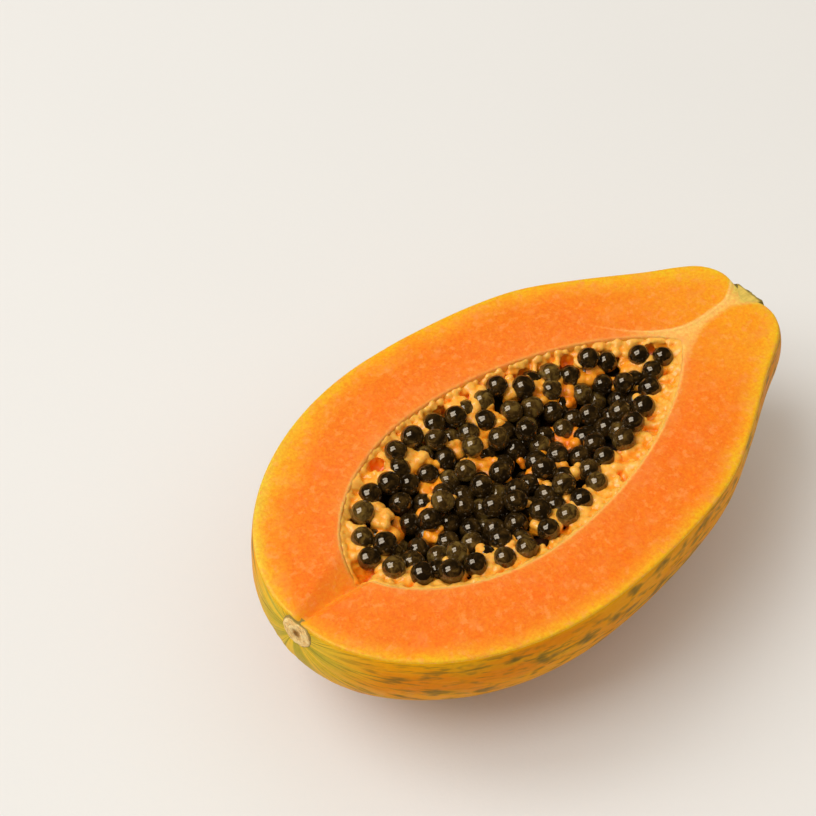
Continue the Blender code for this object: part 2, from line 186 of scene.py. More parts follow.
@dataclass(frozen=True)
class FruitForm:
    """Outer form of the half, as its solids have it."""

    cut_half_width: float = 0.0515
    belly_along: float = 0.066
    blossom_tip: float = -0.0023
    axis_depth: float = 0.009
    flattening: float = 0.86
    nose_bulge: float = 0.0012
    flat_rise: float = 0.0012
    rest_along: float = 0.078
    stem_profile: tuple[tuple[float, float], ...] = (
        (0.080, 0.0517), (0.100, 0.0491), (0.1175, 0.0446), (0.1337, 0.0364), (0.1500, 0.0269),
        (0.1600, 0.0218), (0.1650, 0.0187), (0.1679, 0.0152), (0.1688, 0.0122), (0.1682, 0.0100),
        (0.1670, 0.0078), (0.1664, 0.0040), (0.1663, 0.0),
    )
    scar_centre: tuple[float, float, float] = (-0.0023, -0.0036, -0.0058)
    scar_radius: float = 0.0054
    scar_dish: float = 0.0007

    @property
    def radius(self) -> float:
        """Radius of the whole fruit at its belly."""
        return math.hypot(self.cut_half_width, self.axis_depth)

    @property
    def height(self) -> float:
        """Height of the half, from the flat spot to the cut face."""
        return self.axis_depth + self.flattening * self.radius - self.flat_rise

    def placed(self, point: Vector) -> Vector:
        """Where a point of the fruit's own frame lies in the model's."""
        return Vector((point[0] - self.rest_along, point[1], point[2] + self.height))

    @cached_property
    def profile(self) -> list[Vector]:
        """Distance along the fruit and radius there, from the blossom tip to the middle of the stem end."""
        nose = (self.belly_along - self.blossom_tip) * self.radius / self.cut_half_width
        steps = 44
        arc = []
        for i in range(steps + 1):
            turn = math.pi / 2 * i / steps
            arc.append(Vector((self.belly_along - nose * math.cos(turn), self.radius * math.sin(turn))))
        return arc + smooth_line([(self.belly_along, self.radius), *self.stem_profile], 7)[1:]

    def waterline(self, height: float) -> list[Vector]:
        """Closed plan curve of the skin at a height, from the blossom end along the far side and back."""
        below = height < -self.axis_depth
        rise = height + self.axis_depth
        reach = -rise / self.flattening if below else rise
        side = []
        for a, b in zip(self.profile, self.profile[1:]):
            for first, last in ((a, b), (b, a)):
                if first.y <= reach < last.y:
                    share = (reach - first.y) / (last.y - first.y)
                    side.append(Vector((first.x + share * (last.x - first.x), 0)))
            if b.y > reach:
                side.append(Vector((b.x, math.sqrt(b.y**2 - reach**2))))
        swell = self.nose_bulge * min(1, max(0, -height - self.axis_depth / 2) / 0.02)
        for p in side:
            p.x -= swell * math.exp(-(((p.x - self.blossom_tip) / 0.014) ** 2))
        return side + [Vector((p.x, -p.y)) for p in reversed(side[1:-1])]

    def dish(self, point: Vector) -> float:
        """How far the skin sinks towards the stem near the scar of the flower."""
        away = (Vector(point) - Vector(self.scar_centre)).length
        return self.scar_dish * math.exp(-((away / (1.3 * self.scar_radius)) ** 2))

    def skin_ring(self, height: float, depth: float, count: int) -> list[Vector]:
        """A ring of points at a depth under the skin.

        Args:
            height: Height of the ring on the skin, over the cut face.
            depth: How far under the skin it lies.
            count: How many points it has.

        Returns:
            The points, in the fruit's own frame.
        """
        drop = max(0.0, -height - self.axis_depth)
        steepness = math.asin(min(1.0, drop / (self.flattening * self.radius)))
        outline = ring(self.waterline(height), count)
        inside = pushed_out(outline, -depth * math.cos(steepness))
        level = height + depth * math.sin(steepness)
        return [
            Vector((q.x + self.dish((p.x, p.y, height)), q.y, level)) for p, q in zip(outline, inside)
        ]

    def skin_heights(self, bands: int) -> list[float]:
        """Heights of the skin's rings, from the flat spot to just under the cut face."""
        steepest = math.asin((self.height - self.axis_depth) / (self.flattening * self.radius))
        heights = []
        for i in range(bands + 1):
            slope = steepest * (1 - i / bands)
            heights.append(-self.axis_depth - self.flattening * self.radius * math.sin(slope))
        return heights + [-0.0072, -0.0055, -0.0040, -0.0028, -0.0018]


@dataclass(frozen=True)
class HollowForm:
    """Form of the seeds' hollow and of the crease that runs from it to the scar, as the solids have them."""

    rim_middle: float = 0.066
    rim_half_width: float = 0.0292
    rim_to_blossom: float = 0.0475
    rim_to_stem: float = 0.0745
    rim_offset: float = -0.0009
    blossom_fullness: float = 0.6
    stem_fullness: float = 0.8
    wall: tuple[tuple[float, float], ...] = (
        (0.0005, -0.0010), (0.0008, -0.0045), (0.0020, -0.0095),
        (0.0050, -0.0160), (0.0100, -0.0225), (0.0175, -0.0275),
    )
    crease_start: Vector = field(default_factory=lambda: Vector((0.0215, -0.0034)))
    crease_end: Vector = field(default_factory=lambda: Vector((0.0004, -0.0048)))
    crease_depths: tuple[float, float] = (0.0058, 0.0014)
    crease_far_widths: tuple[float, float] = (0.0100, 0.0030)
    crease_near_widths: tuple[float, float] = (0.0042, 0.0016)
    crease_hollowing: tuple[float, float] = (1.6, 1.1)
    crease_run_outs: tuple[float, float] = (0.25, 1.0)
    near_band_reach: float = 0.0032
    near_band_run: tuple[float, float] = (0.060, 0.110)
    near_band_blend: float = 0.008

    @property
    def run(self) -> tuple[float, float]:
        """Where the hollow begins and ends along the fruit."""
        return self.rim_middle - self.rim_to_blossom, self.rim_middle + self.rim_to_stem

    def rim_curve(self, inset: float) -> list[Vector]:
        """Closed plan curve of the hollow at an inset from its rim, from its blossom corner round."""
        curve = []
        steps = 160
        for i in range(steps):
            turn = math.pi - 2 * math.pi * i / steps
            blossom = math.cos(turn) < 0
            reach = self.rim_to_blossom if blossom else self.rim_to_stem
            fullness = self.blossom_fullness if blossom else self.stem_fullness
            along = self.rim_middle + (reach - 1.25 * inset) * math.cos(turn)
            across = (self.rim_half_width - inset) * abs(math.sin(turn)) ** (2 * fullness)
            curve.append(Vector((along, self.rim_offset + math.copysign(across, math.sin(turn)))))
        return curve

    def crease_depth(self, along: float, across: float) -> float:
        """How deep the crease is at a place on the cut face."""
        run = (along - self.crease_end.x) / (self.crease_start.x - self.crease_end.x)
        fade = min(1.0, 1 + run / self.crease_run_outs[0], 1 - (run - 1) / self.crease_run_outs[1])
        if fade <= 0:
            return 0.0
        t = min(1.0, max(0.0, run))
        side = across - (self.crease_end.y + t * (self.crease_start.y - self.crease_end.y))
        widths = self.crease_far_widths if side > 0 else self.crease_near_widths
        width = widths[1] + t * (widths[0] - widths[1])
        depth = self.crease_depths[1] + t * (self.crease_depths[0] - self.crease_depths[1])
        hollowing = self.crease_hollowing[0] if side > 0 else self.crease_hollowing[1]
        share = max(0.0, 1 - abs(side) / width)
        return depth * share**hollowing * fade

    def near_band(self, along: float, across: float) -> float:
        """How much further in the heap starts at a place, where the near side's band of pulp is wide."""
        share = ease(along, *self.near_band_run)
        side = min(1.0, max(0.0, (self.rim_offset - across) / self.near_band_blend))
        return self.near_band_reach * side * share

    def clearance(self, along: float, across: float, inset: float = 0.0) -> float:
        """How far a place lies inside the rim, moved in by the inset, measured across the fruit."""
        blossom = along < self.rim_middle
        reach = (self.rim_to_blossom if blossom else self.rim_to_stem) - 1.25 * inset
        fullness = self.blossom_fullness if blossom else self.stem_fullness
        share = (along - self.rim_middle) / reach
        half_width = (self.rim_half_width - inset) * max(0.0, 1 - share * share) ** fullness
        return half_width - abs(across - self.rim_offset) - self.near_band(along, across)

    def wall_inset(self, depth: float) -> float:
        """Inset of the hollow's wall at a depth below the cut face."""
        depths = [-h for _, h in self.wall]
        return float(np.interp(depth, depths, [inset for inset, _ in self.wall]))


@dataclass(frozen=True)
class HeapForm:
    """Where the seeds lie, by the same rule as in the solids."""

    hollow: HollowForm
    seed_radius: float = 0.00325
    seed_contact: float = 0.0061
    edge_inset: float = 0.0055
    edge_step: float = 0.0074
    edge_stray: float = 0.0006
    edge_fall: float = 0.0022
    edge_missing: float = 0.16
    edge_top: float = -0.0005
    drops: int = 195
    seed_rest: float = 0.45
    roll_step: float = 0.0007
    roll_steps: int = 12
    roll_directions: int = 8
    edge_depth: float = 0.0028
    middle_depth: float = 0.0088
    shoulder: tuple[float, float] = (0.006, 0.020)
    pit_centre: tuple[float, float] = (0.109, 0.003)
    pit_depth: float = 0.0040
    pit_radius: float = 0.012

    def height(self, along: float, across: float) -> float:
        """Height of the heap's core, which dips in the middle and in the pit."""
        slope = ease(self.hollow.clearance(along, across), *self.shoulder)
        depth = self.edge_depth + (self.middle_depth - self.edge_depth) * slope
        pit = (Vector((along, across)) - Vector(self.pit_centre)).length / self.pit_radius
        return -depth - self.pit_depth * math.exp(-pit * pit)

    def nearest(self, place: Vector) -> float:
        """Distance from a place to the middle of the nearest seed."""
        return min((place - seed).length for seed in self.seeds)

    def resting_height(self, seeds: list[Vector], along: float, across: float) -> float:
        """Height at which the middle of a seed let down at a place comes to rest."""
        height = self.height(along, across) + self.seed_rest * self.seed_radius
        for seed in seeds:
            spare = self.seed_contact**2 - (seed.x - along) ** 2 - (seed.y - across) ** 2
            if spare > 0:
                height = max(height, seed.z + math.sqrt(spare))
        return height

    def rolled(self, seeds: list[Vector], along: float, across: float) -> Vector:
        """Where a seed let down at a place rolls to."""
        here = Vector((along, across, self.resting_height(seeds, along, across)))
        for _ in range(self.roll_steps):
            best = here
            for i in range(self.roll_directions):
                turn = 2 * math.pi * i / self.roll_directions
                x = here.x + self.roll_step * math.cos(turn)
                y = here.y + self.roll_step * math.sin(turn)
                if self.hollow.clearance(x, y, self.edge_inset) > 0:
                    height = self.resting_height(seeds, x, y)
                    if height < best.z - 1e-6:
                        best = Vector((x, y, height))
            if best is here:
                break
            here = best
        return here

    @cached_property
    def seeds(self) -> list[Vector]:
        """Middles of the seeds: an outer row along the rim, then seeds dropped on the heap."""
        rng = random.Random(RANDOM_SEED)
        seeds = []
        row = self.hollow.rim_curve(self.edge_inset)
        for place in ring(row, round(length_of(row) / self.edge_step), 0.0):
            place += Vector((rng.uniform(-1, 1), rng.uniform(-1, 1))) * self.edge_stray
            place.y += self.hollow.near_band(place.x, place.y)
            height = self.edge_top - rng.uniform(0.0, self.edge_fall)
            if rng.random() < self.edge_missing:
                continue
            if all((Vector((place.x, place.y, height)) - s).length > self.seed_contact for s in seeds):
                seeds.append(Vector((place.x, place.y, height)))
        wide = self.hollow.rim_half_width
        for _ in range(self.drops):
            along = rng.uniform(*self.hollow.run)
            across = self.hollow.rim_offset + rng.uniform(-wide, wide)
            if self.hollow.clearance(along, across, self.edge_inset) < 0:
                continue
            seed = self.rolled(seeds, along, across)
            if seed.z < self.edge_top:
                seeds.append(seed)
        return seeds


class Bench:
    """The modelling tools that every piece is made with."""

    @staticmethod
    def clear() -> None:
        """Leaves nothing selected."""
        if bpy.context.object and bpy.context.object.mode != "OBJECT":
            bpy.ops.object.mode_set(mode="OBJECT")
        bpy.ops.object.select_all(action="DESELECT")

    @staticmethod
    def take(made: Piece) -> Piece:
        """Selects one object alone and makes it the active one."""
        Bench.clear()
        made.select_set(True)
        bpy.context.view_layer.objects.active = made
        return made

    @staticmethod
    def named(name: str) -> Piece:
        """Names the object that an operator has just made, and its mesh."""
        made = bpy.context.object
        made.name = made.data.name = name
        return made

    @staticmethod
    def settle(made: Piece) -> Piece:
        """Applies the object's place, so that it lies at the origin with its place in its mesh."""
        Bench.take(made)
        bpy.ops.object.transform_apply(location=True, rotation=True, scale=True)
        return made

    @staticmethod
    def modify(made: Piece, kind: str, **settings: object) -> Piece:
        """Adds a modifier and applies it.

        Args:
            made: The object to shape.
            kind: The modifier's type.
            settings: Its settings, by name.

        Returns:
            The same object.
        """
        Bench.take(made)
        tool = made.modifiers.new(kind.lower(), kind)
        for key, value in settings.items():
            setattr(tool, key, value)
        bpy.ops.object.modifier_apply(modifier=tool.name)
        return made

    @staticmethod
    def note(mesh: bpy.types.Mesh, name: str, values: np.ndarray) -> None:
        """Keeps a value, or a row of three, for each point of a mesh under a name."""
        kind, part = ("FLOAT", "value") if values.ndim == 1 else ("FLOAT_VECTOR", "vector")
        mesh.attributes.new(name, kind, "POINT").data.foreach_set(part, values.astype(np.float32).ravel())

    @staticmethod
    def added(name: str, data: bpy.types.ID) -> Piece:
        """Puts a new object into the scene."""
        made = bpy.data.objects.new(name, data)
        bpy.context.scene.collection.objects.link(made)
        return made

    @staticmethod
    def smooth(made: Piece, degrees: float = 60) -> Piece:
        """Shades the object smooth, apart from edges sharper than the angle."""
        Bench.take(made)
        bpy.ops.object.shade_smooth_by_angle(angle=math.radians(degrees))
        return made

    @staticmethod
    def wrapped(name: str, rings: list[list[Vector]], marks: dict[str, list]) -> Piece:
        """A closed body: a grid is wrapped round rings of points, its seam merged and its ends filled.

        Args:
            name: Name of the object.
            rings: Rings of as many points each, in the model's frame.
            marks: Values for each point, ring by ring, by the name of the attribute that holds them.

        Returns:
            The body, with its faces outwards.
        """
        across, down = len(rings[0]), len(rings) - 1
        Bench.clear()
        bpy.ops.mesh.primitive_grid_add(x_subdivisions=across, y_subdivisions=down, size=2)
        body = Bench.named(name)
        flat = np.empty(len(body.data.vertices) * 3)
        body.data.vertices.foreach_get("co", flat)
        flat = flat.reshape(-1, 3)
        column = np.rint((flat[:, 0] + 1) / 2 * across).astype(int) % across
        row = np.rint((flat[:, 1] + 1) / 2 * down).astype(int)
        points = np.array([[tuple(p) for p in level] for level in rings])
        body.data.vertices.foreach_set("co", points[row, column].ravel())
        for mark, values in marks.items():
            Bench.note(body.data, mark, np.array(values)[row, column])
        bpy.ops.object.mode_set(mode="EDIT")
        bpy.ops.mesh.select_all(action="SELECT")
        bpy.ops.mesh.remove_doubles(threshold=1e-7)
        bpy.ops.mesh.select_all(action="DESELECT")
        bpy.ops.mesh.select_non_manifold()
        bpy.ops.mesh.edge_face_add()
        bpy.ops.mesh.select_all(action="SELECT")
        bpy.ops.mesh.normals_make_consistent(inside=False)
        bpy.ops.object.mode_set(mode="OBJECT")
        return body

    @staticmethod
    def scattered(name: str, kinds: list[Piece], places: list[Matrix]) -> Piece:
        """One mesh of many copies, which are taken in turn from a few kinds.

        Args:
            name: Name of the object.
            kinds: The pieces to copy, which are removed afterwards.
            places: A matrix for each copy.

        Returns:
            The joined copies. The attribute copy_tone holds a value of its own for each.
        """
        shapes = []
        for kind in kinds:
            mesh = kind.data
            spots = np.array([tuple(v.co) for v in mesh.vertices])
            shapes.append((spots, [tuple(p.vertices) for p in mesh.polygons]))
        spots, faces, tones = [], [], []
        count = 0
        rng = random.Random(RANDOM_SEED + 3)
        for i, place in enumerate(places):
            shape, sides = shapes[i % len(shapes)]
            matrix = np.array(place)
            spots.append(shape @ matrix[:3, :3].T + matrix[:3, 3])
            faces.extend(tuple(v + count for v in side) for side in sides)
            tones.append(np.full(len(shape), rng.random()))
            count += len(shape)
        mesh = bpy.data.meshes.new(name)
        mesh.from_pydata(np.concatenate(spots).tolist(), [], faces)
        Bench.note(mesh, "copy_tone", np.concatenate(tones))
        made = Bench.added(name, mesh)
        for kind in kinds:
            bpy.data.objects.remove(kind)
        return made

    @staticmethod
    def hand_in(made: Piece, finish: Material, slot: Slot, *nodes: str) -> None:
        """Dresses a finished piece, and says what it rides on and stands for.

        Args:
            made: The piece.
            finish: Its material.
            slot: The record's slot for it; not used.
            nodes: The solids that it stands for.
        """
        made.data.materials.clear()
        made.data.materials.append(finish)
        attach(made, "root")
        if nodes:
            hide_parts(*nodes)
        made.data.calc_loop_triangles()
        log.info("%s: %d triangles", made.name, len(made.data.loop_triangles))


class Paint:
    """Wires the nodes of one material."""

    def __init__(self, name: str) -> None:
        """Starts a material with its shader."""
        self.material = bpy.data.materials.new(name)
        self.material.use_nodes = True
        self.tree = self.material.node_tree
        self.shader = self.tree.nodes["Principled BSDF"]
        self.place = self.tree.nodes.new("ShaderNodeTexCoord").outputs["Object"]

    def wire(self, value: object, socket: Socket) -> None:
        """Links a node's output to a socket, or sets the socket to a plain value."""
        if isinstance(value, Socket):
            self.tree.links.new(value, socket)
        elif isinstance(value, tuple) and len(value) == 3 and socket.type == "RGBA":
            socket.default_value = (*value, 1)
        else:
            socket.default_value = value

    def mark(self, name: str, output: str = "Fac") -> Socket:
        """What the mesh holds under a name, as a value or by another output of the node."""
        node = self.tree.nodes.new("ShaderNodeAttribute")
        node.attribute_name = name
        return node.outputs[output]

    def flow(self, name: str) -> Socket:
        """The coordinates that the mesh holds under a name."""
        return self.mark(name, "Vector")

    def stretched(self, place: Socket, scale: Colour) -> Socket:
        """Coordinates multiplied along each axis."""
        node = self.tree.nodes.new("ShaderNodeMapping")
        self.wire(place, node.inputs["Vector"])
        node.inputs["Scale"].default_value = scale
        return node.outputs["Vector"]

    def grain(self, scale: float, detail: float = 2.0, rough: float = 0.5, place: object = None,
              warp: float = 0.0) -> Socket:
        """Cloudy noise.

        Args:
            scale: Clouds for each metre.
            detail: Finer layers on top.
            rough: How strong they are.
            place: The coordinates, or None for the object's own.
            warp: How much the pattern is stirred.

        Returns:
            A value round a half.
        """
        node = self.tree.nodes.new("ShaderNodeTexNoise")
        self.wire(self.place if place is None else place, node.inputs["Vector"])
        node.inputs["Scale"].default_value = scale
        node.inputs["Detail"].default_value = detail
        node.inputs["Roughness"].default_value = rough
        node.inputs["Distortion"].default_value = warp
        return node.outputs["Fac"]

    def streaks(self, place: Socket, along: float, across: float, detail: float = 3.0,
                rough: float = 0.5, warp: float = 0.0) -> Socket:
        """Cloudy noise drawn out along the first axis of the coordinates.

        Args:
            place: The coordinates.
            along: Clouds for each metre along the first axis.
            across: Clouds for each metre along the second.
            detail: Finer layers on top.
            rough: How strong they are.
            warp: How much the pattern is stirred.

        Returns:
            A value round a half.
        """
        return self.grain(1, detail, rough, self.stretched(place, (along, across, 1)), warp)

    def ramp(self, value: object, *stops: tuple[float, Colour]) -> Socket:
        """Colours by a value, blended between stops."""
        node = self.tree.nodes.new("ShaderNodeValToRGB")
        self.wire(value, node.inputs["Fac"])
        while len(node.color_ramp.elements) < len(stops):
            node.color_ramp.elements.new(0.5)
        for element, (place, colour) in zip(node.color_ramp.elements, stops):
            element.position = place
            element.color = (*colour, 1)
        return node.outputs["Color"]

    def span(self, value: object, low: float, high: float, start: float = 0.0,
             end: float = 1.0) -> Socket:
        """Turns the stretch from low to high of a value smoothly into the one from start to end."""
        node = self.tree.nodes.new("ShaderNodeMapRange")
        node.interpolation_type = "SMOOTHSTEP"
        self.wire(value, node.inputs["Value"])
        for socket, number in zip(("From Min", "From Max", "To Min", "To Max"), (low, high, start, end)):
            node.inputs[socket].default_value = number
        return node.outputs["Result"]

    def times(self, first: object, second: object) -> Socket:
        """The product of two values."""
        return self.sum("MULTIPLY", first, second)

    def plus(self, first: object, second: object, clamp: bool = False) -> Socket:
        """Two values added up, and kept from 0 to 1 where clamp is set."""
        return self.sum("ADD", first, second, clamp)

    def sum(self, operation: str, first: object, second: object, clamp: bool = False) -> Socket:
        """Works two values into one."""
        node = self.tree.nodes.new("ShaderNodeMath")
        node.operation = operation
        node.use_clamp = clamp
        self.wire(first, node.inputs[0])
        self.wire(second, node.inputs[1])
        return node.outputs[0]

    def mix(self, share: object, under: object, over: object, blend: str = "MIX") -> Socket:
        """Lays a colour over another by a share.

        Args:
            share: How much of it shows, from 0 to 1.
            under: The colour below.
            over: The colour on top.
            blend: How they meet.

        Returns:
            The mixed colour.
        """
        node = self.tree.nodes.new("ShaderNodeMix")
        node.data_type = "RGBA"
        node.blend_type = blend
        for value, number in zip((share, under, over), MIX_INPUTS):
            self.wire(value, node.inputs[number])
        return node.outputs[MIX_RESULT]

    def grained(self, colour: object, grain: object, share: float, spread: float, contrast: float) -> Socket:
        """Lightens and darkens a colour by a grain.

        Args:
            colour: The colour.
            grain: The grain, a value round a half.
            share: How much of it shows.
            spread: How far from a half the grain is lightest and darkest.
            contrast: How far from the middle grey those two tones are.

        Returns:
            The grained colour.
        """
        dark, light = ((MIDDLE + way * contrast,) * 3 for way in (-1, 1))
        tone = self.ramp(grain, (0.5 - spread, dark), (0.5 + spread, light))
        return self.mix(share, colour, tone, "OVERLAY")

    def bump(self, height: object, depth: float, under: object = None) -> Socket:
        """Raises the surface by a pattern.

        Args:
            height: The pattern, from 0 to 1.
            depth: How high 1 stands, in metres.
            under: An earlier bump's normal to add this to, or None.

        Returns:
            The normal.
        """
        node = self.tree.nodes.new("ShaderNodeBump")
        node.inputs["Distance"].default_value = depth
        self.wire(height, node.inputs["Height"])
        if under is not None:
            self.wire(under, node.inputs["Normal"])
        return node.outputs["Normal"]

    def finish(self, colour: object, rough: object, normal: object = None,
               **settings: float) -> Material:
        """Feeds the shader.

        Args:
            colour: The base colour.
            rough: The roughness.
            normal: The bumped normal, or None.
            settings: Plain values for the shader's other sockets, with _ for a space.

        Returns:
            The material.
        """
        self.wire(colour, self.shader.inputs["Base Color"])
        self.wire(rough, self.shader.inputs["Roughness"])
        if normal is not None:
            self.wire(normal, self.shader.inputs["Normal"])
        for name, value in settings.items():
            self.wire(value, self.shader.inputs[name.replace("_", " ")])
        return self.material


@dataclass(frozen=True)
class FleshFinish:
    """Ripe flesh: yellow under the skin, deep orange towards the hollow, moist and fine grained, with painted
    light on the hollow's wall and in the crease.
    """

    under_skin: Colour = shade(243, 180, 28)
    left_edge: Colour = shade(228, 197, 66)
    outer: Colour = shade(243, 152, 34)
    middle: Colour = shade(242, 129, 26)
    inner: Colour = shade(242, 127, 30)
    deep: Colour = shade(242, 122, 25)
    lip: Colour = shade(255, 182, 94)
    neck: Colour = shade(245, 174, 32)
    neck_edge: Colour = shade(245, 190, 40)
    band: Colour = shade(252, 198, 106)
    stalk: Colour = shade(226, 192, 88)
    line: Colour = shade(255, 214, 128)
    olive: Colour = shade(206, 150, 52)
    crease: Colour = shade(255, 157, 38)
    # The hollow's wall is painted lighter and yellower than the flesh: painted light in its shade.
    wall: Colour = shade(255, 168, 50)
    deep_wall_painted_light: Colour = shade(255, 160, 40)
    pale: Colour = shade(250, 166, 88)

    def make(self) -> Material:
        """The material, which reads the marks that the flesh's mesh holds."""
        paint = Paint("papaya_flesh")
        drift = paint.plus(paint.grain(70, 3), -MIDDLE)
        skin = paint.plus(paint.mark("from_skin"), paint.times(drift, 0.20))
        colour = paint.ramp(
            skin, (0.01, self.under_skin), (0.10, self.outer), (0.20, self.middle), (0.34, self.inner),
            (0.65, self.deep),
        )
        colour = paint.mix(paint.mark("left_edge"), colour, self.left_edge)
        neck = paint.plus(paint.mark("neck"), paint.times(drift, 0.5), True)
        colour = paint.mix(neck, colour, paint.ramp(skin, (0.03, self.neck_edge), (0.26, self.neck)))
        clouds = paint.span(paint.grain(140, 4, 0.6), 0.35, 0.68)
        colour = paint.mix(paint.times(clouds, 0.34), colour, self.pale, "SOFT_LIGHT")
        streaks = paint.streaks(paint.flow("flow"), 900, 240, 2, 0.55)
        streaks = paint.span(streaks, 0.56, 0.74, 0.0, 0.42)
        colour = paint.mix(paint.times(streaks, paint.mark("streaks")), colour, self.pale)
        colour = paint.mix(paint.mark("band"), colour, self.band)
        colour = paint.mix(paint.mark("stalk"), colour, self.stalk)
        colour = paint.mix(paint.mark("olive"), colour, self.olive)
        colour = paint.mix(paint.mark("line"), colour, self.line)
        colour = paint.mix(paint.mark("lip"), colour, self.lip)
        # The crease, by its depth: its own saturated orange, painted lighter as painted light on the slope
        # that lies in shade.
        colour = paint.mix(paint.mark("crease"), colour, self.crease)
        # The hollow's wall, from the lip down: its own orange made lighter, as painted light where it lies in
        # shade.
        wall = paint.ramp(paint.mark("below"), (0.0, self.lip), (0.025, self.wall), (0.60, self.deep_wall_painted_light))
        colour = paint.mix(paint.span(paint.mark("below"), 0.0, 0.02), colour, wall)
        fine = paint.grain(1150, 3, 0.65)
        colour = paint.grained(colour, fine, 0.5, 0.18, 0.20)
        mottles = paint.span(paint.grain(190, 3, 0.6), 0.50, 0.70, 0.0, 0.26)
        colour = paint.mix(mottles, colour, self.pale)
        flecks = paint.span(paint.grain(460, 3, 0.6), 0.52, 0.70, 0.0, 0.50)
        colour = paint.mix(flecks, colour, self.pale)
        deeper = paint.span(paint.grain(95, 4, 0.65), 0.50, 0.70, 0.0, 0.12)
        colour = paint.mix(deeper, colour, self.deep, "MULTIPLY")
        rough = paint.span(paint.grain(420, 3), 0.3, 0.7, 0.34, 0.52)
        normal = paint.bump(fine, 0.00009)
        normal = paint.bump(paint.grain(330, 3), 0.00016, normal)
        return paint.finish(
            colour, rough, normal, Subsurface_Weight=0.65, Subsurface_Radius=(1.0, 0.45, 0.15),
            Subsurface_Scale=0.0022, Specular_IOR_Level=0.4, IOR=1.38, Coat_Weight=0.12, Coat_Roughness=0.25,
        )


@dataclass(frozen=True)
class RindFinish:
    """Thin satin skin: golden ochre with dark green flecks along the fruit, and green by the scar."""

    ochre: Colour = shade(240, 160, 4)
    amber: Colour = shade(230, 136, 3)
    lime: Colour = shade(206, 176, 24)
    lemon: Colour = shade(236, 197, 54)
    green: Colour = shade(156, 150, 44)
    fleck: Colour = shade(104, 94, 32)
    edge: Colour = shade(238, 170, 12)

    def make(self) -> Material:
        """The material, which reads the marks that the skin's mesh holds."""
        paint = Paint("papaya_rind")
        flow = paint.flow("flow")
        clouds = paint.streaks(flow, 28, 55)
        colour = paint.mix(paint.span(clouds, 0.38, 0.62), self.ochre, self.amber)
        patches = paint.streaks(flow, 36, 90, 3, 0.55)
        colour = paint.mix(paint.span(patches, 0.48, 0.68, 0.0, 0.4), colour, self.lime)
        end = paint.mark("blossom")
        colour = paint.mix(paint.times(end, 0.85), colour, self.lemon)
        wedges = paint.streaks(flow, 12, 48, 2, 0.5, 0.25)
        wedges = paint.times(paint.span(wedges, 0.42, 0.60, 0.0, 0.75), paint.times(end, end))
        colour = paint.mix(wedges, colour, self.green)
        stripes = paint.span(paint.streaks(flow, 22, 190, 3, 0.6, 0.3), 0.52, 0.62)
        colour = paint.mix(paint.times(stripes, paint.times(end, 0.35)), colour, self.lemon)
        zone = paint.sum("SUBTRACT", 1.0, end, True)
        blots = paint.streaks(flow, 150, 160, 2)
        blots = paint.times(paint.span(blots, 0.51, 0.72, 0.0, 0.8), zone)
        colour = paint.mix(blots, colour, self.fleck)
        dashes = paint.streaks(flow, 150, 450, 2, 0.6)
        dashes = paint.times(paint.span(dashes, 0.50, 0.65), paint.span(patches, 0.32, 0.52))
        colour = paint.mix(paint.times(dashes, 0.58), colour, self.fleck)
        colour = paint.mix(paint.mark("edge"), colour, self.edge)
        fine = paint.grain(900, 3, 0.6)
        colour = paint.grained(colour, fine, 0.35, 0.2, 0.1)
        rough = paint.span(paint.grain(260, 3), 0.3, 0.7, 0.38, 0.52)
        normal = paint.bump(paint.streaks(flow, 150, 420), 0.00018)
        normal = paint.bump(fine, 0.00005, normal)
        return paint.finish(
            colour, rough, normal, Subsurface_Weight=0.1, Subsurface_Radius=(1.0, 0.5, 0.1),
            Subsurface_Scale=0.0008, IOR=1.25, Specular_IOR_Level=0.12,
        )


@dataclass(frozen=True)
class PulpFinish:
    """Wet yellow-orange pulp, with painted shade: pale where it stands high, deeper orange where it lies low,
    in its hollows and in the emptied sockets.
    """

    # Tones from high places down to low and sunken ones, as painted light and shade.
    high: Colour = shade(255, 184, 76)
    golden: Colour = shade(255, 162, 36)
    amber: Colour = shade(253, 142, 16)
    low: Colour = shade(246, 124, 12)

    def make(self) -> Material:
        """The material, which reads from the mesh how high and how hollow each place is, for its painted
        shade.
        """
        paint = Paint("papaya_pulp")
        drift = paint.times(paint.plus(paint.grain(260, 3), -MIDDLE), 0.55)
        rise = paint.plus(paint.mark("rise"), drift)
        # Painted shade and light: low and sunken places take the deep colours, high ones the pale.
        stops = ((0.10, self.low), (0.42, self.amber), (0.70, self.golden), (0.95, self.high))
        colour = paint.ramp(rise, *stops)
        fine = paint.grain(900, 3, 0.6)
        colour = paint.grained(colour, fine, 0.45, 0.2, 0.12)
        normal = paint.bump(fine, 0.00007)
        return paint.finish(
            colour, paint.span(paint.grain(500, 2), 0.3, 0.7, 0.26, 0.42), normal,
            Subsurface_Weight=0.45, Subsurface_Radius=(1.0, 0.55, 0.22), Subsurface_Scale=0.0008,
            Coat_Weight=0.2, Coat_Roughness=0.12,
        )


@dataclass(frozen=True)
class SeedFinish:
    """Black-brown seeds in clear wet skins that let olive through."""

    dark: Colour = shade(30, 21, 9)
    brown: Colour = shade(70, 50, 20)
    olive: Colour = shade(116, 92, 42)

    def make(self) -> Material:
        """The material, whose tone differs from seed to seed."""
        paint = Paint("papaya_seed")
        tone = paint.mark("copy_tone")
        mottle = paint.grain(420, 3, 0.6, warp=0.6)
        share = paint.plus(mottle, paint.span(tone, 0.55, 1.0, -0.06, 0.14))
        colour = paint.ramp(share, (0.40, self.dark), (0.60, self.brown), (0.80, self.olive))
        return paint.finish(
            colour, paint.span(mottle, 0.3, 0.7, 0.03, 0.07), paint.bump(paint.grain(480, 2), 0.00012),
            IOR=1.95, Specular_Tint=(*shade(255, 238, 214), 1),
            Sheen_Weight=0.05, Sheen_Roughness=0.4, Sheen_Tint=(*shade(190, 150, 80), 1),
        )


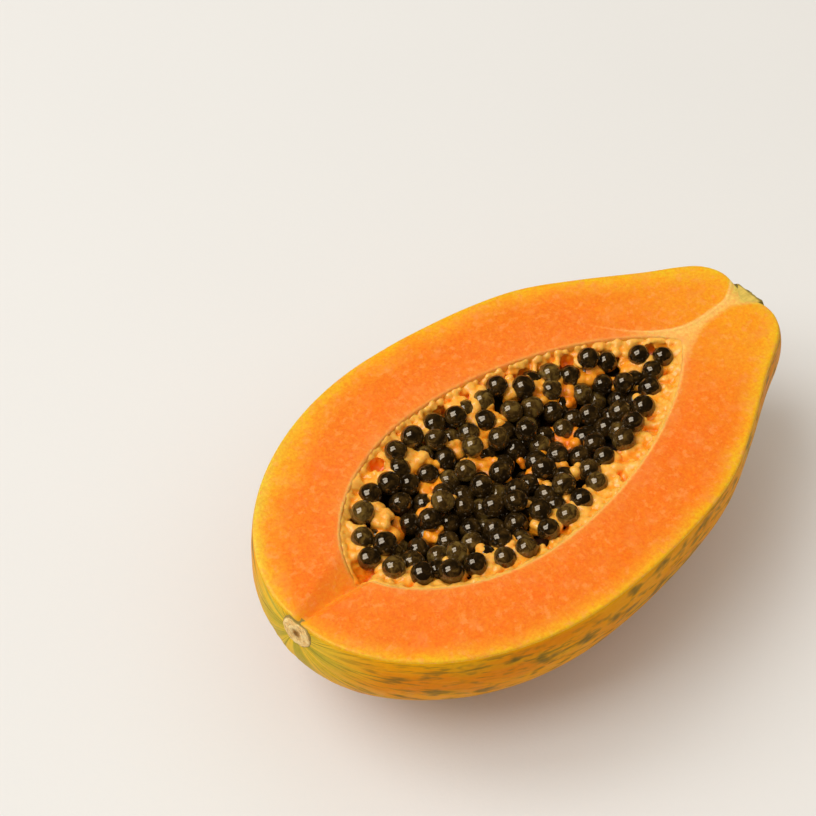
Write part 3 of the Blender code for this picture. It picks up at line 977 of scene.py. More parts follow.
@dataclass(frozen=True)
class DeepShadeBedFinish:
    """What shows far down between the seeds: wet dark skins and a little pulp, both painted dark as the shade
    deep in the heap.
    """

    dark: Colour = shade(18, 12, 7)
    pulp: Colour = shade(70, 34, 10)

    def make(self) -> Material:
        """The material."""
        paint = Paint("papaya_seed_bed_shade")
        # Painted shade: near black, with pulp in a dark brown that real pulp has only in shade.
        colour = paint.mix(paint.span(paint.grain(160, 3), 0.52, 0.66, 0.0, 0.7), self.dark, self.pulp)
        return paint.finish(colour, 0.5, paint.bump(paint.grain(400, 3), 0.0006), Specular_IOR_Level=0.2)


@dataclass(frozen=True)
class ScarFinish:
    """The flower's scar: pale, dry and cracked, darker in the middle."""

    pale: Colour = shade(254, 224, 158)
    tan: Colour = shade(238, 190, 114)
    middle: Colour = shade(156, 108, 44)
    rim: Colour = shade(146, 124, 56)

    def make(self) -> Material:
        """The material, which reads how far out each place is from the mesh."""
        paint = Paint("papaya_scar")
        out = paint.mark("out")
        mottle = paint.grain(700, 4, 0.65)
        colour = paint.mix(paint.span(mottle, 0.35, 0.65), self.tan, self.pale)
        centre = paint.span(paint.plus(out, paint.times(mottle, 0.25)), 0.62, 0.18)
        colour = paint.mix(centre, colour, self.middle)
        colour = paint.mix(paint.span(out, 0.90, 1.02), colour, self.rim)
        cracks = paint.grain(1, 3, 0.6, paint.flow("rays"))
        cut = paint.span(cracks, 0.47, 0.38, 0.0, 0.55)
        colour = paint.mix(cut, colour, self.middle)
        normal = paint.bump(cracks, 0.0004)
        return paint.finish(colour, 0.72, paint.bump(mottle, 0.0002, normal), Specular_IOR_Level=0.25)


@dataclass(frozen=True)
class StemFinish:
    """What is left of the stem: pale yellow-green where it is cut, dark olive and dry round its end."""

    cut: Colour = shade(226, 194, 92)
    fibre: Colour = shade(208, 178, 78)
    bark: Colour = shade(104, 92, 38)

    def make(self) -> Material:
        """The material, which reads from the mesh where the bark is."""
        paint = Paint("papaya_stem")
        grain = paint.grain(1, 3, 0.6, paint.stretched(paint.place, (160, 700, 700)))
        colour = paint.mix(paint.span(grain, 0.4, 0.65), self.cut, self.fibre)
        bark = paint.plus(paint.mark("bark"), paint.plus(paint.grain(500, 3), -MIDDLE), True)
        colour = paint.mix(bark, colour, self.bark)
        return paint.finish(colour, 0.6, paint.bump(paint.grain(600, 4), 0.0003), Specular_IOR_Level=0.3)


@dataclass(frozen=True)
class TableFinish:
    """A plain pale surface with a soft tooth."""

    colour: Colour = (0.782, 0.789, 0.784)

    def make(self) -> Material:
        """The material."""
        paint = Paint("pale_table")
        tint = paint.ramp(paint.grain(6, 2), (0.3, self.colour), (0.7, tuple(0.985 * c for c in self.colour)))
        return paint.finish(tint, 0.7, paint.bump(paint.grain(900, 2), 0.00003), Specular_IOR_Level=0.2)


@dataclass(frozen=True)
class BandEdge:
    """An edge of the pale band in the neck, in millimetres: it flares towards the hollow and the stem.

    Each flare has its start along the fruit, its run from there, its width at the run's end and its power.
    """

    half_width: float
    flares: tuple[tuple[float, float, float, float], ...]

    def at(self, along: float) -> float:
        """How far the edge is from the band's middle line."""
        return self.half_width + sum(
            width * max(0.0, (along - start) / run) ** power for start, run, width, power in self.flares
        )


@dataclass
class Flesh:
    """The cut flesh: a body that fills the skin, with the crease and the hollow in its face."""

    form: FruitForm
    hollow: HollowForm
    count: int = 400
    side_bands: int = 14
    face_bands: int = 46
    under_skin: float = 0.0005
    edge_steps: tuple[tuple[float, float], ...] = (
        (0.0004, -0.0011), (0.00012, -0.0007), (0.00008, -0.00042), (0.00022, -0.00016),
        (0.0005, -0.00004), (0.0009, 0.0),
    )
    lip_steps: tuple[tuple[float, float], ...] = (
        (-0.0006, 0.0), (-0.0003, -0.00002), (0.0, -0.00012), (0.00022, -0.00035), (0.0004, -0.0007),
        (0.0005, -0.0012), (0.0006, -0.0022), (0.0007, -0.0034), (0.0009, -0.0047), (0.0013, -0.0066),
        (0.0020, -0.0095), (0.0033, -0.0127), (0.0050, -0.0160), (0.0100, -0.0225), (0.0175, -0.0275),
    )
    relief: float = 0.00022
    fine_relief: float = 0.00006
    band_far: BandEdge = BandEdge(1.35, ((150, -14.3, 5.6, 2), (160, 6, 2.8, 1.5)))
    band_near: BandEdge = BandEdge(1.3, ((152, -15.1, 6.0, 1.5), (159.5, 6.6, 2.9, 1.5)))
    skin_reach: float = 0.030
    left_edge_width: float = 0.0034
    lip_width: float = 0.0006
    lip_glow: float = 0.0028
    streak_reach: float = 0.016
    wall_reach: float = 0.016
    full_crease: float = 0.0024
    neck_run: tuple[float, float] = (0.122, 0.163)
    stalk_run: tuple[float, float] = (0.160, 0.1665)

    def face_height(self, place: Vector, fade: float) -> float:
        """Height of the cut face at a place: the crease and a soft unevenness."""
        x, y = place.x, place.y
        wave = noise.noise(Vector((x * 75, y * 75, 3.1))) * self.relief
        wave += noise.noise(Vector((x * 310, y * 310, 7.7))) * self.fine_relief
        return wave * fade - self.hollow.crease_depth(x, y)

    def rings(self) -> list[list[Vector]]:
        """Rings of the body, from the flat spot up the side, over the face and down into the hollow."""
        rings = []
        for height in self.form.skin_heights(self.side_bands):
            rings.append(self.form.skin_ring(height, self.under_skin, self.count))
        for inset, height in self.edge_steps:
            level = self.form.skin_ring(height, inset, self.count)
            for p in level:
                p.z -= self.hollow.crease_depth(p.x, p.y)
            rings.append(level)
        edge = [Vector(p).to_2d() for p in rings[-1]]
        rim = ring(self.hollow.rim_curve(self.lip_steps[0][0]), self.count)
        for i in range(1, self.face_bands):
            share = i / self.face_bands
            share -= 0.05 * math.sin(2 * math.pi * share)
            fade = ease(share, 0.0, 0.08) * ease(share, 1.0, 0.95)
            level = [a.lerp(b, share) for a, b in zip(edge, rim)]
            rings.append([Vector((p.x, p.y, self.face_height(p, fade))) for p in level])
        for inset, height in self.lip_steps:
            level = []
            for p in ring(self.hollow.rim_curve(inset), self.count):
                level.append(Vector((p.x, p.y, height - self.hollow.crease_depth(p.x, p.y))))
            rings.append(level)
        return rings

    def band_share(self, along: float, across: float) -> tuple[float, float, float]:
        """The pale band from the hollow to the stem, and two lines along its far side.

        Args:
            along: Distance along the fruit.
            across: Distance across it.

        Returns:
            How much of the band shows there, of the bright line and of the dull one beside it.
        """
        s, y = 1000 * along, 1000 * across
        far, near = self.band_far.at(s), self.band_near.at(s)
        run = ease(s, 128, 140)
        inside = ease(y, far + 0.3, far - 0.3) * ease(y, -near - 1.0, -near + 1.0)
        line = math.exp(-(((y - far) / 0.36) ** 2)) * ease(s, 118, 138)
        dull = math.exp(-(((y - far + 0.85) / 0.42) ** 2)) * ease(s, 134, 142)
        return inside * run * (1 - 0.35 * ease(y, far - 1.0, -near) * ease(s, 166, 158)), line, dull

    def marks(self, rings: list[list[Vector]]) -> dict[str, list]:
        """What the finish needs to know of each point, ring by ring."""
        shape = (len(rings), self.count)
        points = np.array([[tuple(p) for p in level] for level in rings]).reshape(-1, 3)
        skin, _ = distances(points[:, :2], ring(self.form.waterline(0.0), 300))
        rim, turn = distances(points[:, :2], self.hollow.rim_curve(0.0))
        side = np.clip(points[:, 1] / 0.03, -1, 1)
        reach = self.skin_reach * np.where(side > 0, 1 + 0.45 * side, 1 + 0.05 * side)
        left = np.exp(-(((points[:, 0] - 0.01) / 0.03) ** 2)) * np.clip(points[:, 1] / 0.02, 0, 1)
        inside = np.array([self.hollow.clearance(x, y) > 0 for x, y in points[:, :2]])
        crease = np.array([self.hollow.crease_depth(x, y) for x, y in points[:, :2]])
        # How far below the face the hollow's wall lies, which the finish paints lighter as painted light.
        below = np.where(inside, np.maximum(0, -points[:, 2] - crease - 0.0004), 0)
        bands = np.array([self.band_share(x, y) for x, y in points[:, :2]])
        far_rim = np.clip(points[:, 1] / 0.012, 0, 1) * np.clip((points[:, 0] - 0.03) / 0.02, 0, 1)
        pale_lip = 0.9 - 0.55 * far_rim
        neck = np.array([ease(x, *self.neck_run) for x in points[:, 0]])
        stalk = np.array([ease(x, *self.stalk_run) for x in points[:, 0]])
        inward = np.clip(rim / 0.03, 0, 1)
        marks = {
            "from_skin": np.clip(skin / (reach * (1 + 0.55 * left)), 0, 1),
            "left_edge": np.clip(1.15 - skin / self.left_edge_width, 0, 1) * left * 0.85,
            "neck": neck * 0.75 * (1 - 0.25 * inward),
            "lip": np.clip(1.2 - rim / self.lip_width, 0, 1) * pale_lip + 0.22 * np.exp(-rim / self.lip_glow),
            "below": np.clip(below / self.wall_reach, 0, 1),
            # The crease's depth, which the finish paints lighter as painted light on its shaded slope.
            "crease": np.clip(crease / self.full_crease, 0, 1) * 0.75,
            "streaks": np.clip(1 - rim / self.streak_reach, 0.15, 1) * np.clip(rim / 0.002, 0, 1),
            "band": bands[:, 0] * 0.92,
            "line": bands[:, 1] * 0.75,
            "olive": bands[:, 2] * 0.22,
            "stalk": bands[:, 0] * stalk * 0.8,
        }
        shaped = {name: values.reshape(shape) for name, values in marks.items()}
        shaped["flow"] = np.stack([turn, rim, np.zeros_like(rim)], 1).reshape(*shape, 3)
        return shaped

    def build(self) -> Piece:
        """Models the flesh."""
        rings = self.rings()
        marks = self.marks(rings)
        placed = [[self.form.placed(p) for p in level] for level in rings]
        body = Bench.smooth(Bench.wrapped("flesh", placed, marks), 70)
        Bench.hand_in(body, FleshFinish().make(), Slot.FLESH, "papaya_half")
        return body


@dataclass
class Rind:
    """The thin skin, with furrows that run out from the flower's scar."""

    form: FruitForm
    hollow: HollowForm
    count: int = 400
    bands: int = 62
    thickness: float = 0.00048
    furrow: float = 0.00042
    furrow_reach: float = 0.026
    swell: float = 0.00022
    stem_swell: float = 0.0003
    ridge_scales: tuple[float, float] = (3.4, 9)
    fine_ridge_scales: tuple[float, float] = (8.5, 20)
    swell_scales: tuple[float, float] = (1.6, 22)
    stem_scales: tuple[float, float] = (3.0, 12)
    smooth_round_scar: tuple[float, float] = (0.004, 0.009)
    swell_run: tuple[float, float] = (0.01, 0.04)
    stem_run: tuple[float, float] = (0.135, 0.160)
    creased_above: float = -0.0015
    edge_run: tuple[float, float] = (-0.0016, -0.0003)
    blossom_run: tuple[float, float] = (0.030, 0.006)
    rim_steps: tuple[tuple[float, float], ...] = (
        (0.0, -0.0011), (0.00002, -0.0008), (0.00012, -0.00062), (0.00032, -0.00062),
    )

    def meridian(self, point: Vector) -> float:
        """Angle of a place on the skin round the fruit, which starts from the scar at the blossom end."""
        nearness = ease(point.x, 0.045, 0.0)
        side = point.y - self.form.scar_centre[1] * nearness
        drop = -(point.z - self.form.scar_centre[2] * nearness + self.form.axis_depth * (1 - nearness))
        return math.atan2(side, drop / self.form.flattening)

    def relief(self, point: Vector, turn: float) -> float:
        """How far the skin stands out at a place: furrows near the scar, a soft swell elsewhere."""
        away = (point - Vector(self.form.scar_centre)).length
        ridges = noise.noise(Vector((turn * self.ridge_scales[0], point.x * self.ridge_scales[1], 1.3)))
        fine = Vector((turn * self.fine_ridge_scales[0], point.x * self.fine_ridge_scales[1], 4.2))
        ridges += 0.5 * noise.noise(fine)
        near_end = math.exp(-((away / self.furrow_reach) ** 2)) * ease(away, *self.smooth_round_scar)
        swell = noise.noise(Vector((point.x * self.swell_scales[1], turn * self.swell_scales[0], 8.8)))
        stem = noise.noise(Vector((turn * self.stem_scales[0], point.x * self.stem_scales[1], 5.0)))
        stem *= self.stem_swell * ease(point.x, *self.stem_run)
        return self.furrow * ridges * near_end + self.swell * swell * ease(away, *self.swell_run) + stem

    def build(self) -> Piece:
        """Models the skin as a shell with its own thickness."""
        rings, flow, edge, blossom = [], [], [], []
        outer = [(height, 0.0) for height in self.form.skin_heights(self.bands)]
        outer += [(height, inset) for inset, height in self.rim_steps]
        inner = [(height, self.thickness) for height in reversed(self.form.skin_heights(12))]
        for number, (height, inset) in enumerate(outer + inner):
            level = self.form.skin_ring(height, inset, self.count)
            drop = max(0.0, -height - self.form.axis_depth)
            steep = math.asin(min(1.0, drop / (self.form.flattening * self.form.radius)))
            turns = [self.meridian(p) for p in level]
            if number < len(outer):
                fade = ease(height, 0.0, -0.004) * ease(height, -self.form.height, -self.form.height + 0.0006)
                moved = pushed_out(level, 1.0)
                for p, out, turn in zip(level, moved, turns):
                    bulge = self.relief(p, turn) * fade
                    push = Vector((out.x - p.x, out.y - p.y, 0)).normalized() * math.cos(steep)
                    push.z = -math.sin(steep)
                    p += push * bulge
            for p in level:
                p.z -= self.hollow.crease_depth(p.x, p.y) if height > self.creased_above else 0.0
            rings.append([self.form.placed(p) for p in level])
            flow.append([(p.x, turn * 0.05, height) for p, turn in zip(level, turns)])
            edge.append([ease(height, *self.edge_run)] * self.count)
            away = [(p - Vector(self.form.scar_centre)).length for p in level]
            blossom.append([ease(a, *self.blossom_run) for a in away])
        marks = {"flow": flow, "edge": edge, "blossom": blossom}
        skin = Bench.smooth(Bench.wrapped("rind", rings, marks), 75)
        Bench.hand_in(skin, RindFinish().make(), Slot.RIND, "papaya_half")
        return skin


@dataclass
class Pulp:
    """Wet pulp round the seeds: a lumpy layer on the hollow's wall with empty sockets, ridges between the
    outer seeds, a wide band along the near side and lumps in the heap."""

    form: FruitForm
    heap: HeapForm
    voxel: float = 0.00032
    kept_share: float = 0.41
    layer_rows: tuple[float, ...] = (0.0013, 0.0031, 0.0052, 0.0076, 0.0102)
    layer_step: float = 0.0021
    layer_radii: tuple[float, float] = (0.0009, 0.0016)
    layer_drift: float = 0.0004
    layer_under_face: tuple[float, float] = (0.0002, 0.0008)
    top_row_out: tuple[float, float] = (-0.45, 0.05)
    lower_rows_out: tuple[float, float] = (0.0, 0.35)
    far_sizes: tuple[float, float] = (0.35, 1.05)
    far_drops: tuple[float, float] = (0.0001, 0.0026)
    far_out: tuple[float, float] = (-0.2, 0.6)
    bead_step: float = 0.00048
    bead_radii: tuple[float, float] = (0.00048, 0.00066)
    bead_drop: tuple[float, float] = (0.00012, 0.00037)
    bead_out: float = 0.0002
    bead_from_middle: float = 0.010
    ridge_chance: float = 0.85
    ridge_radii: tuple[float, float] = (0.0008, 0.0015)
    ridge_reach: tuple[float, float] = (0.0030, 0.0066)
    ridge_starts: tuple[float, float] = (0.0012, 0.0022)
    ridge_end: float = 0.0015
    ridge_falls: tuple[float, float] = (0.0006, 0.0026)
    ridge_turn: float = 0.006
    ridge_lump_chance: float = 0.5
    band_step: float = 0.0013
    band_radii: tuple[float, float] = (0.0010, 0.0019)
    band_width: float = 0.0034
    band_margin: float = 0.0003
    band_top: float = -0.0010
    band_waves: float = 0.0024
    band_wave_scale: float = 260
    band_stack: int = 3
    far_fade: float = 0.010
    far_missing: float = 0.35
    crest_rows: tuple[float, ...] = (0.0014, 0.0036)
    crest_step: float = 0.0034
    crest_sizes: tuple[float, float] = (0.0014, 0.0026)
    crest_stray: tuple[float, float] = (0.0009, 0.0004)
    crest_falls: tuple[float, float] = (0.0, 0.0014)
    crest_under_face: float = 0.0003
    crest_from_middle: float = 0.006
    crest_chance: float = 0.8
    socket_step: float = 0.0090
    socket_radii: tuple[float, float] = (0.0018, 0.0028)
    socket_depths: tuple[float, float] = (0.0072, 0.0030)
    socket_drift: tuple[float, float] = (-0.0006, 0.0010)
    socket_off_wall: float = 0.0008
    socket_chance: float = 0.6
    socket_clear: float = 0.8
    socket_unevenness: float = 0.30
    tip_sockets: tuple[tuple[float, float, float, float], ...] = (
        (0.1288, 0.0044, -0.0018, 0.0021), (0.1322, 0.0028, -0.0018, 0.0022),
        (0.1350, 0.0006, -0.0020, 0.0019),
    )
    far_gaps: float = 0.5
    bits: tuple[tuple[float, float, float], ...] = (
        (0.0576, 0.0166, 0.0032), (0.0332, 0.0148, 0.0022), (0.0278, 0.0097, 0.0022),
        (0.0367, 0.0068, 0.0023), (0.0441, 0.0183, 0.0018), (0.0544, 0.0011, 0.0019),
        (0.0775, -0.0127, 0.0024), (0.0687, -0.0131, 0.0020), (0.0473, -0.0182, 0.0031),
        (0.0474, -0.0228, 0.0026), (0.0794, -0.0174, 0.0027), (0.0860, -0.0143, 0.0028),
        (0.1168, -0.0082, 0.0028), (0.1069, -0.0183, 0.0024), (0.0985, 0.0150, 0.0019),
        (0.0820, 0.0120, 0.0016), (0.0660, 0.0080, 0.0015), (0.1250, -0.0110, 0.0022),
    )
    lump_core: float = 0.62
    lump_balls: int = 7
    lump_reach: tuple[tuple[float, float], ...] = ((-0.9, 0.9), (-0.5, 0.5), (-0.8, 0.1))
    lump_sizes: tuple[float, float] = (0.40, 0.60)
    strand_step: float = 0.6
    strand_waist: float = 0.25
    strand_sag: float = 0.0005
    strand_stray: float = 0.15
    spare_bits: int = 14
    last_spare_bit: float = 0.132
    spare_sizes: tuple[float, float] = (0.0016, 0.0028)
    neighbours: float = 0.0065
    filling_step: float = 0.0015
    filling_radii: tuple[float, float] = (0.0011, 0.0021)
    filling_top: float = -0.0012
    filling_waves: float = 0.0018
    filling_margins: tuple[float, float] = (0.0006, 0.003)
    patch_scale: float = 120
    wave_scale: float = 330
    corner_balls: int = 130
    corner_turns: float = 0.045
    corner_depths: tuple[float, float] = (0.0035, 0.0110)
    corner_out: tuple[float, float] = (0.0, 0.0050)
    full_dent: float = 0.00022
    # Depth over which the painted shade of the pulp deepens.
    deep: float = 0.0110
    under_face: float = 0.0001
    relief_layers: tuple[tuple[float, float], ...] = ((0.00034, 300), (0.00016, 720), (0.00006, 1700))
    rng: random.Random = field(default_factory=lambda: random.Random(RANDOM_SEED + 1))
    balls: list[tuple[Vector, float]] = field(default_factory=list)
    sockets: list[tuple[Vector, float]] = field(default_factory=list)

    def ball(self, middle: Vector, radius: float) -> None:
        """Adds a ball of pulp, unless it lies in an empty socket."""
        if all((middle - socket).length > self.socket_clear * reach for socket, reach in self.sockets):
            self.balls.append((middle, radius))

    def lump(self, middle: Vector, size: float) -> None:
        """Adds a solid uneven lump, longer than wide, made of several balls."""
        self.ball(middle, self.lump_core * size)
        turn = Matrix.Rotation(self.rng.uniform(0, math.pi), 3, "Z")
        for _ in range(self.lump_balls):
            away = Vector([self.rng.uniform(*reach) for reach in self.lump_reach])
            self.ball(middle + turn @ away * size, size * self.rng.uniform(*self.lump_sizes))

    def strand(self, start: Vector, end: Vector, radius: float) -> None:
        """Adds a ridge from one point to another, thinner and lower in its middle."""
        steps = max(2, round((end - start).length / (self.strand_step * radius)))
        for i in range(steps + 1):
            t = i / steps
            waist = 1 - self.strand_waist * math.sin(math.pi * t)
            sag = Vector((0, 0, -self.strand_sag * math.sin(math.pi * t)))
            stray = Vector((self.rng.uniform(-1, 1), self.rng.uniform(-1, 1), 0))
            self.ball(start.lerp(end, t) + sag + stray * self.strand_stray * radius, radius * waist)

    def strewn(self, step: float) -> Iterator[tuple[float, float]]:
        """Gives places all over the hollow in plan, a step apart and each a little astray."""
        hollow = self.heap.hollow
        along, end = hollow.run
        while along < end:
            across = hollow.rim_offset - hollow.rim_half_width
            while across < hollow.rim_offset + hollow.rim_half_width:
                yield along + self.rng.uniform(-0.5, 0.5) * step, across + self.rng.uniform(-0.5, 0.5) * step
                across += step
            along += step

    def wall_point(self, turn: float, depth: float, out: float) -> Vector:
        """A point off the hollow's wall.

        Args:
            turn: How far round the rim, from 0 to 1.
            depth: How far below the cut face.
            out: How far it stands off the wall.

        Returns:
            The point, in the fruit's own frame.
        """
        hollow = self.heap.hollow
        curve = hollow.rim_curve(hollow.wall_inset(depth) + out)
        exact = (turn % 1.0) * len(curve)
        first = int(exact) % len(curve)
        p = curve[first].lerp(curve[(first + 1) % len(curve)], exact - int(exact))
        return Vector((p.x, p.y, -depth - hollow.crease_depth(p.x, p.y)))

    def empty_sockets(self) -> None:
        """Round sockets that seeds have fallen out of, along the far wall where no seed lies in front."""
        around = round(length_of(self.heap.hollow.rim_curve(0.0)) / self.socket_step)
        for i in range(2 * around):
            turn = (i + self.rng.uniform(-0.35, 0.35)) / (2 * around)
            radius = self.rng.uniform(*self.socket_radii)
            depth = self.socket_depths[i % 2] + self.rng.uniform(*self.socket_drift)
            socket = self.wall_point(turn, depth, 0.85 * radius + self.socket_off_wall)
            far = socket.y > self.heap.hollow.rim_offset
            clear = self.heap.nearest(socket) > 1.25 * self.heap.seed_radius
            if far and clear and self.rng.random() < self.socket_chance:
                self.sockets.append((socket, radius))
        self.sockets.extend((Vector(place), radius) for *place, radius in self.tip_sockets)

    def layer(self) -> None:
        """A lumpy layer that covers the wall."""
        around = round(length_of(self.heap.hollow.rim_curve(0.0)) / self.layer_step)
        for k, depth in enumerate(self.layer_rows):
            for i in range(around):
                size = self.rng.uniform(*self.layer_radii)
                drop = depth + self.rng.uniform(-self.layer_drift, self.layer_drift)
                drop = max(drop, size * 0.95 + self.rng.uniform(*self.layer_under_face))
                turn = (i + 0.5 * (k % 2) + self.rng.uniform(-0.3, 0.3)) / around
                out = self.rng.uniform(*(self.lower_rows_out if k else self.top_row_out))
                point = self.wall_point(turn, drop, out * size)
                far = k == 0 and point.y > self.heap.hollow.rim_offset - 0.004
                if far and self.rng.random() > self.far_gaps:
                    small = self.rng.uniform(*self.far_sizes) * size
                    high = small + self.rng.uniform(*self.far_drops)
                    self.ball(self.wall_point(turn, high, self.rng.uniform(*self.far_out) * small), small)
                self.ball(point, size)

    def bead(self) -> None:
        """A fine uneven bead along the near side of the rim, where the pulp meets the cut face."""
        hollow = self.heap.hollow
        count = round(length_of(hollow.rim_curve(0.0)) / self.bead_step)
        for i in range(count):
            size = self.rng.uniform(*self.bead_radii)
            drop = size + self.rng.uniform(*self.bead_drop)
            out = self.bead_out - hollow.wall_inset(drop)
            point = self.wall_point((i + self.rng.uniform(-0.2, 0.2)) / count, drop, out)
            if point.y < hollow.rim_offset - self.bead_from_middle:
                self.ball(point, size)

    def ridges(self) -> None:
        """Ridges that run in from the wall between two seeds of the outer row."""
        around = round(length_of(self.heap.hollow.rim_curve(0.0)) / (0.62 * self.heap.edge_step))
        for i in range(around):
            if self.rng.random() > self.ridge_chance:
                continue
            turn = (i + self.rng.uniform(-0.25, 0.25)) / around
            reach = self.rng.uniform(*self.ridge_reach)
            start = self.wall_point(turn, self.rng.uniform(*self.ridge_starts), 0.0)
            aside = self.rng.uniform(-self.ridge_turn, self.ridge_turn)
            end = self.wall_point(turn + aside, self.ridge_end, reach)
            end.z -= self.rng.uniform(*self.ridge_falls)
            radius = self.rng.uniform(*self.ridge_radii)
            self.strand(start, end, radius)
            if self.rng.random() < self.ridge_lump_chance:
                self.lump(end, 1.5 * radius)

    def near_band(self) -> None:
        """The band of pulp between the rim and the outer seeds, full on the near side."""
        for x, y in self.strewn(self.band_step):
            self.band_ball(x, y)

    def band_ball(self, x: float, y: float) -> None:
        """Adds a ball of the band at a place, if the band reaches there and no seed is in the way."""
        hollow = self.heap.hollow
        inside = hollow.clearance(x, y) + hollow.near_band(x, y)
        band = self.band_width + hollow.near_band(x, y)
        far_share = ease(y, hollow.rim_offset, hollow.rim_offset + self.far_fade)
        if not self.band_margin < inside < band or self.rng.random() < self.far_missing * far_share:
            return
        full = self.rng.uniform(*self.band_radii)
        wave = noise.noise(Vector((x * self.band_wave_scale, y * self.band_wave_scale, 6.0)))
        wave = min(1.0, max(0.0, 0.5 + 0.85 * wave))
        top = self.band_top - 0.18 * inside - self.band_waves * wave - far_share * (0.0004 + 0.24 * inside)
        for size in (full, 0.6 * full):
            middle = Vector((x, y, top - size - hollow.crease_depth(x, y)))
            if self.heap.nearest(middle) > self.heap.seed_radius + 0.1 * size:
                for step in range(self.band_stack):
                    self.ball(middle - Vector((0, 0, 1.2 * size * step)), size)
                return

    def crests(self) -> None:
        """Larger lumps that stand on the band, along the near side of the rim."""
        hollow = self.heap.hollow
        for inset in self.crest_rows:
            row = hollow.rim_curve(inset)
            for place in ring(row, round(length_of(row) / self.crest_step), 0.0):
                wide = hollow.near_band(place.x, place.y) * inset / self.crest_rows[-1]
                x = place.x + self.rng.uniform(-1, 1) * self.crest_stray[0]
                y = place.y + wide + self.rng.uniform(-1, 1) * self.crest_stray[1]
                size = self.rng.uniform(*self.crest_sizes)
                drop = 0.75 * size + self.rng.uniform(*self.crest_falls) + hollow.crease_depth(x, y)
                middle = Vector((x, y, -self.crest_under_face - drop))
                near = y < hollow.rim_offset - self.crest_from_middle
                clear = self.heap.nearest(middle) > self.heap.seed_radius + 0.4 * size
                if near and clear and self.rng.random() < self.crest_chance:
                    self.lump(middle, 0.8 * size)

    def heap_bits(self) -> None:
        """Lumps of pulp between the seeds of the heap."""
        seeds = self.heap.seeds
        for x, y, size in self.bits:
            around = [s.z for s in seeds if math.hypot(s.x - x, s.y - y) < self.neighbours]
            level = sum(around) / len(around) if around else self.heap.height(x, y)
            self.lump(Vector((x, y, min(level + 0.0010, -0.0006 - 0.8 * size))), size)
        hollow = self.heap.hollow
        left = self.spare_bits
        while left:
            x = self.rng.uniform(hollow.run[0], self.last_spare_bit)
            y = hollow.rim_offset + self.rng.uniform(-1, 1) * hollow.rim_half_width
            if hollow.clearance(x, y) < 0.005:
                continue
            around = [s for s in seeds if math.hypot(s.x - x, s.y - y) < 0.006]
            if len(around) < 2 or min(math.hypot(s.x - x, s.y - y) for s in around) < 0.0028:
                continue
            level = sum(s.z for s in around) / len(around)
            self.lump(Vector((x, y, level - 0.0006)), self.rng.uniform(*self.spare_sizes))
            left -= 1

    def filling(self) -> None:
        """Pulp in the gaps between the seeds, most of it near the rim and in patches further in."""
        hollow, seeds = self.heap.hollow, self.heap.seeds
        for x, y in self.strewn(self.filling_step):
            inside = hollow.clearance(x, y)
            patch = 0.5 + 0.8 * noise.noise(Vector((x * self.patch_scale, y * self.patch_scale, 2.0)))
            around = [s for s in seeds if math.hypot(s.x - x, s.y - y) < self.neighbours]
            bare = 0.33 + 0.30 * ease(inside, 0.005, 0.015) + 0.18 * ease(y, 0.002, -0.010)
            margin = self.filling_margins[y > hollow.rim_offset - 0.004]
            if inside < margin or not around or patch < bare:
                continue
            wave = 0.5 + 0.6 * noise.noise(Vector((x * self.wave_scale, y * self.wave_scale, 4.0)))
            size = self.rng.uniform(*self.filling_radii)
            level = sum(s.z for s in around) / len(around) + self.filling_waves * wave - size
            middle = Vector((x, y, min(level, self.filling_top - size)))
            if min((middle - s).length for s in around) > 0.8 * self.heap.seed_radius:
                self.ball(middle, size)
                self.ball(middle - Vector((0, 0, 1.2 * size)), size)

    def corner_filling(self) -> None:
        """Pulp that fills the hollow's corner below the crease."""
        for _ in range(self.corner_balls):
            depth = self.rng.uniform(*self.corner_depths)
            turn = self.rng.uniform(-self.corner_turns, self.corner_turns)
            middle = self.wall_point(turn, depth, self.rng.uniform(*self.corner_out))
            size = self.rng.uniform(*self.filling_radii)
            if self.heap.nearest(middle) > self.heap.seed_radius + 0.2 * size:
                self.ball(middle, size)

    def blended(self) -> Piece:
        """The balls as one closed skin."""
        Bench.clear()
        bpy.ops.mesh.primitive_ico_sphere_add(subdivisions=2, radius=1.0)
        unit = Bench.named("pulp_ball")
        places = []
        for middle, radius in self.balls:
            stretch = Matrix.Diagonal((radius, radius, radius, 1))
            places.append(Matrix.Translation(self.form.placed(middle)) @ stretch)
        pulp = Bench.scattered("pulp", [unit], places)
        Bench.modify(pulp, "REMESH", mode="VOXEL", voxel_size=self.voxel)
        return Bench.modify(pulp, "SMOOTH", factor=0.6, iterations=5)

    def press_sockets(self, points: np.ndarray) -> np.ndarray:
        """Pushes the skin out of the empty sockets.

        Args:
            points: The skin's points, which this moves.

        Returns:
            1 for each point that was pushed, and 0 for the others.
        """
        pressed = np.zeros(len(points))
        for socket, radius in self.sockets:
            away = points - np.array(self.form.placed(socket))
            reach = np.maximum(1e-6, np.linalg.norm(away, axis=1))
            near = np.flatnonzero(reach < 1.2 * radius)
            way = away[near] / reach[near, None]
            uneven = np.array([noise.noise(Vector(w) * 1.7 + socket * 900) for w in way])
            uneven = 1 + self.socket_unevenness * uneven
            inside = reach[near] < radius * uneven
            near, way, uneven = near[inside], way[inside], uneven[inside]
            points[near] += way * (radius * uneven - reach[near])[:, None]
            pressed[near] = 1
        return pressed

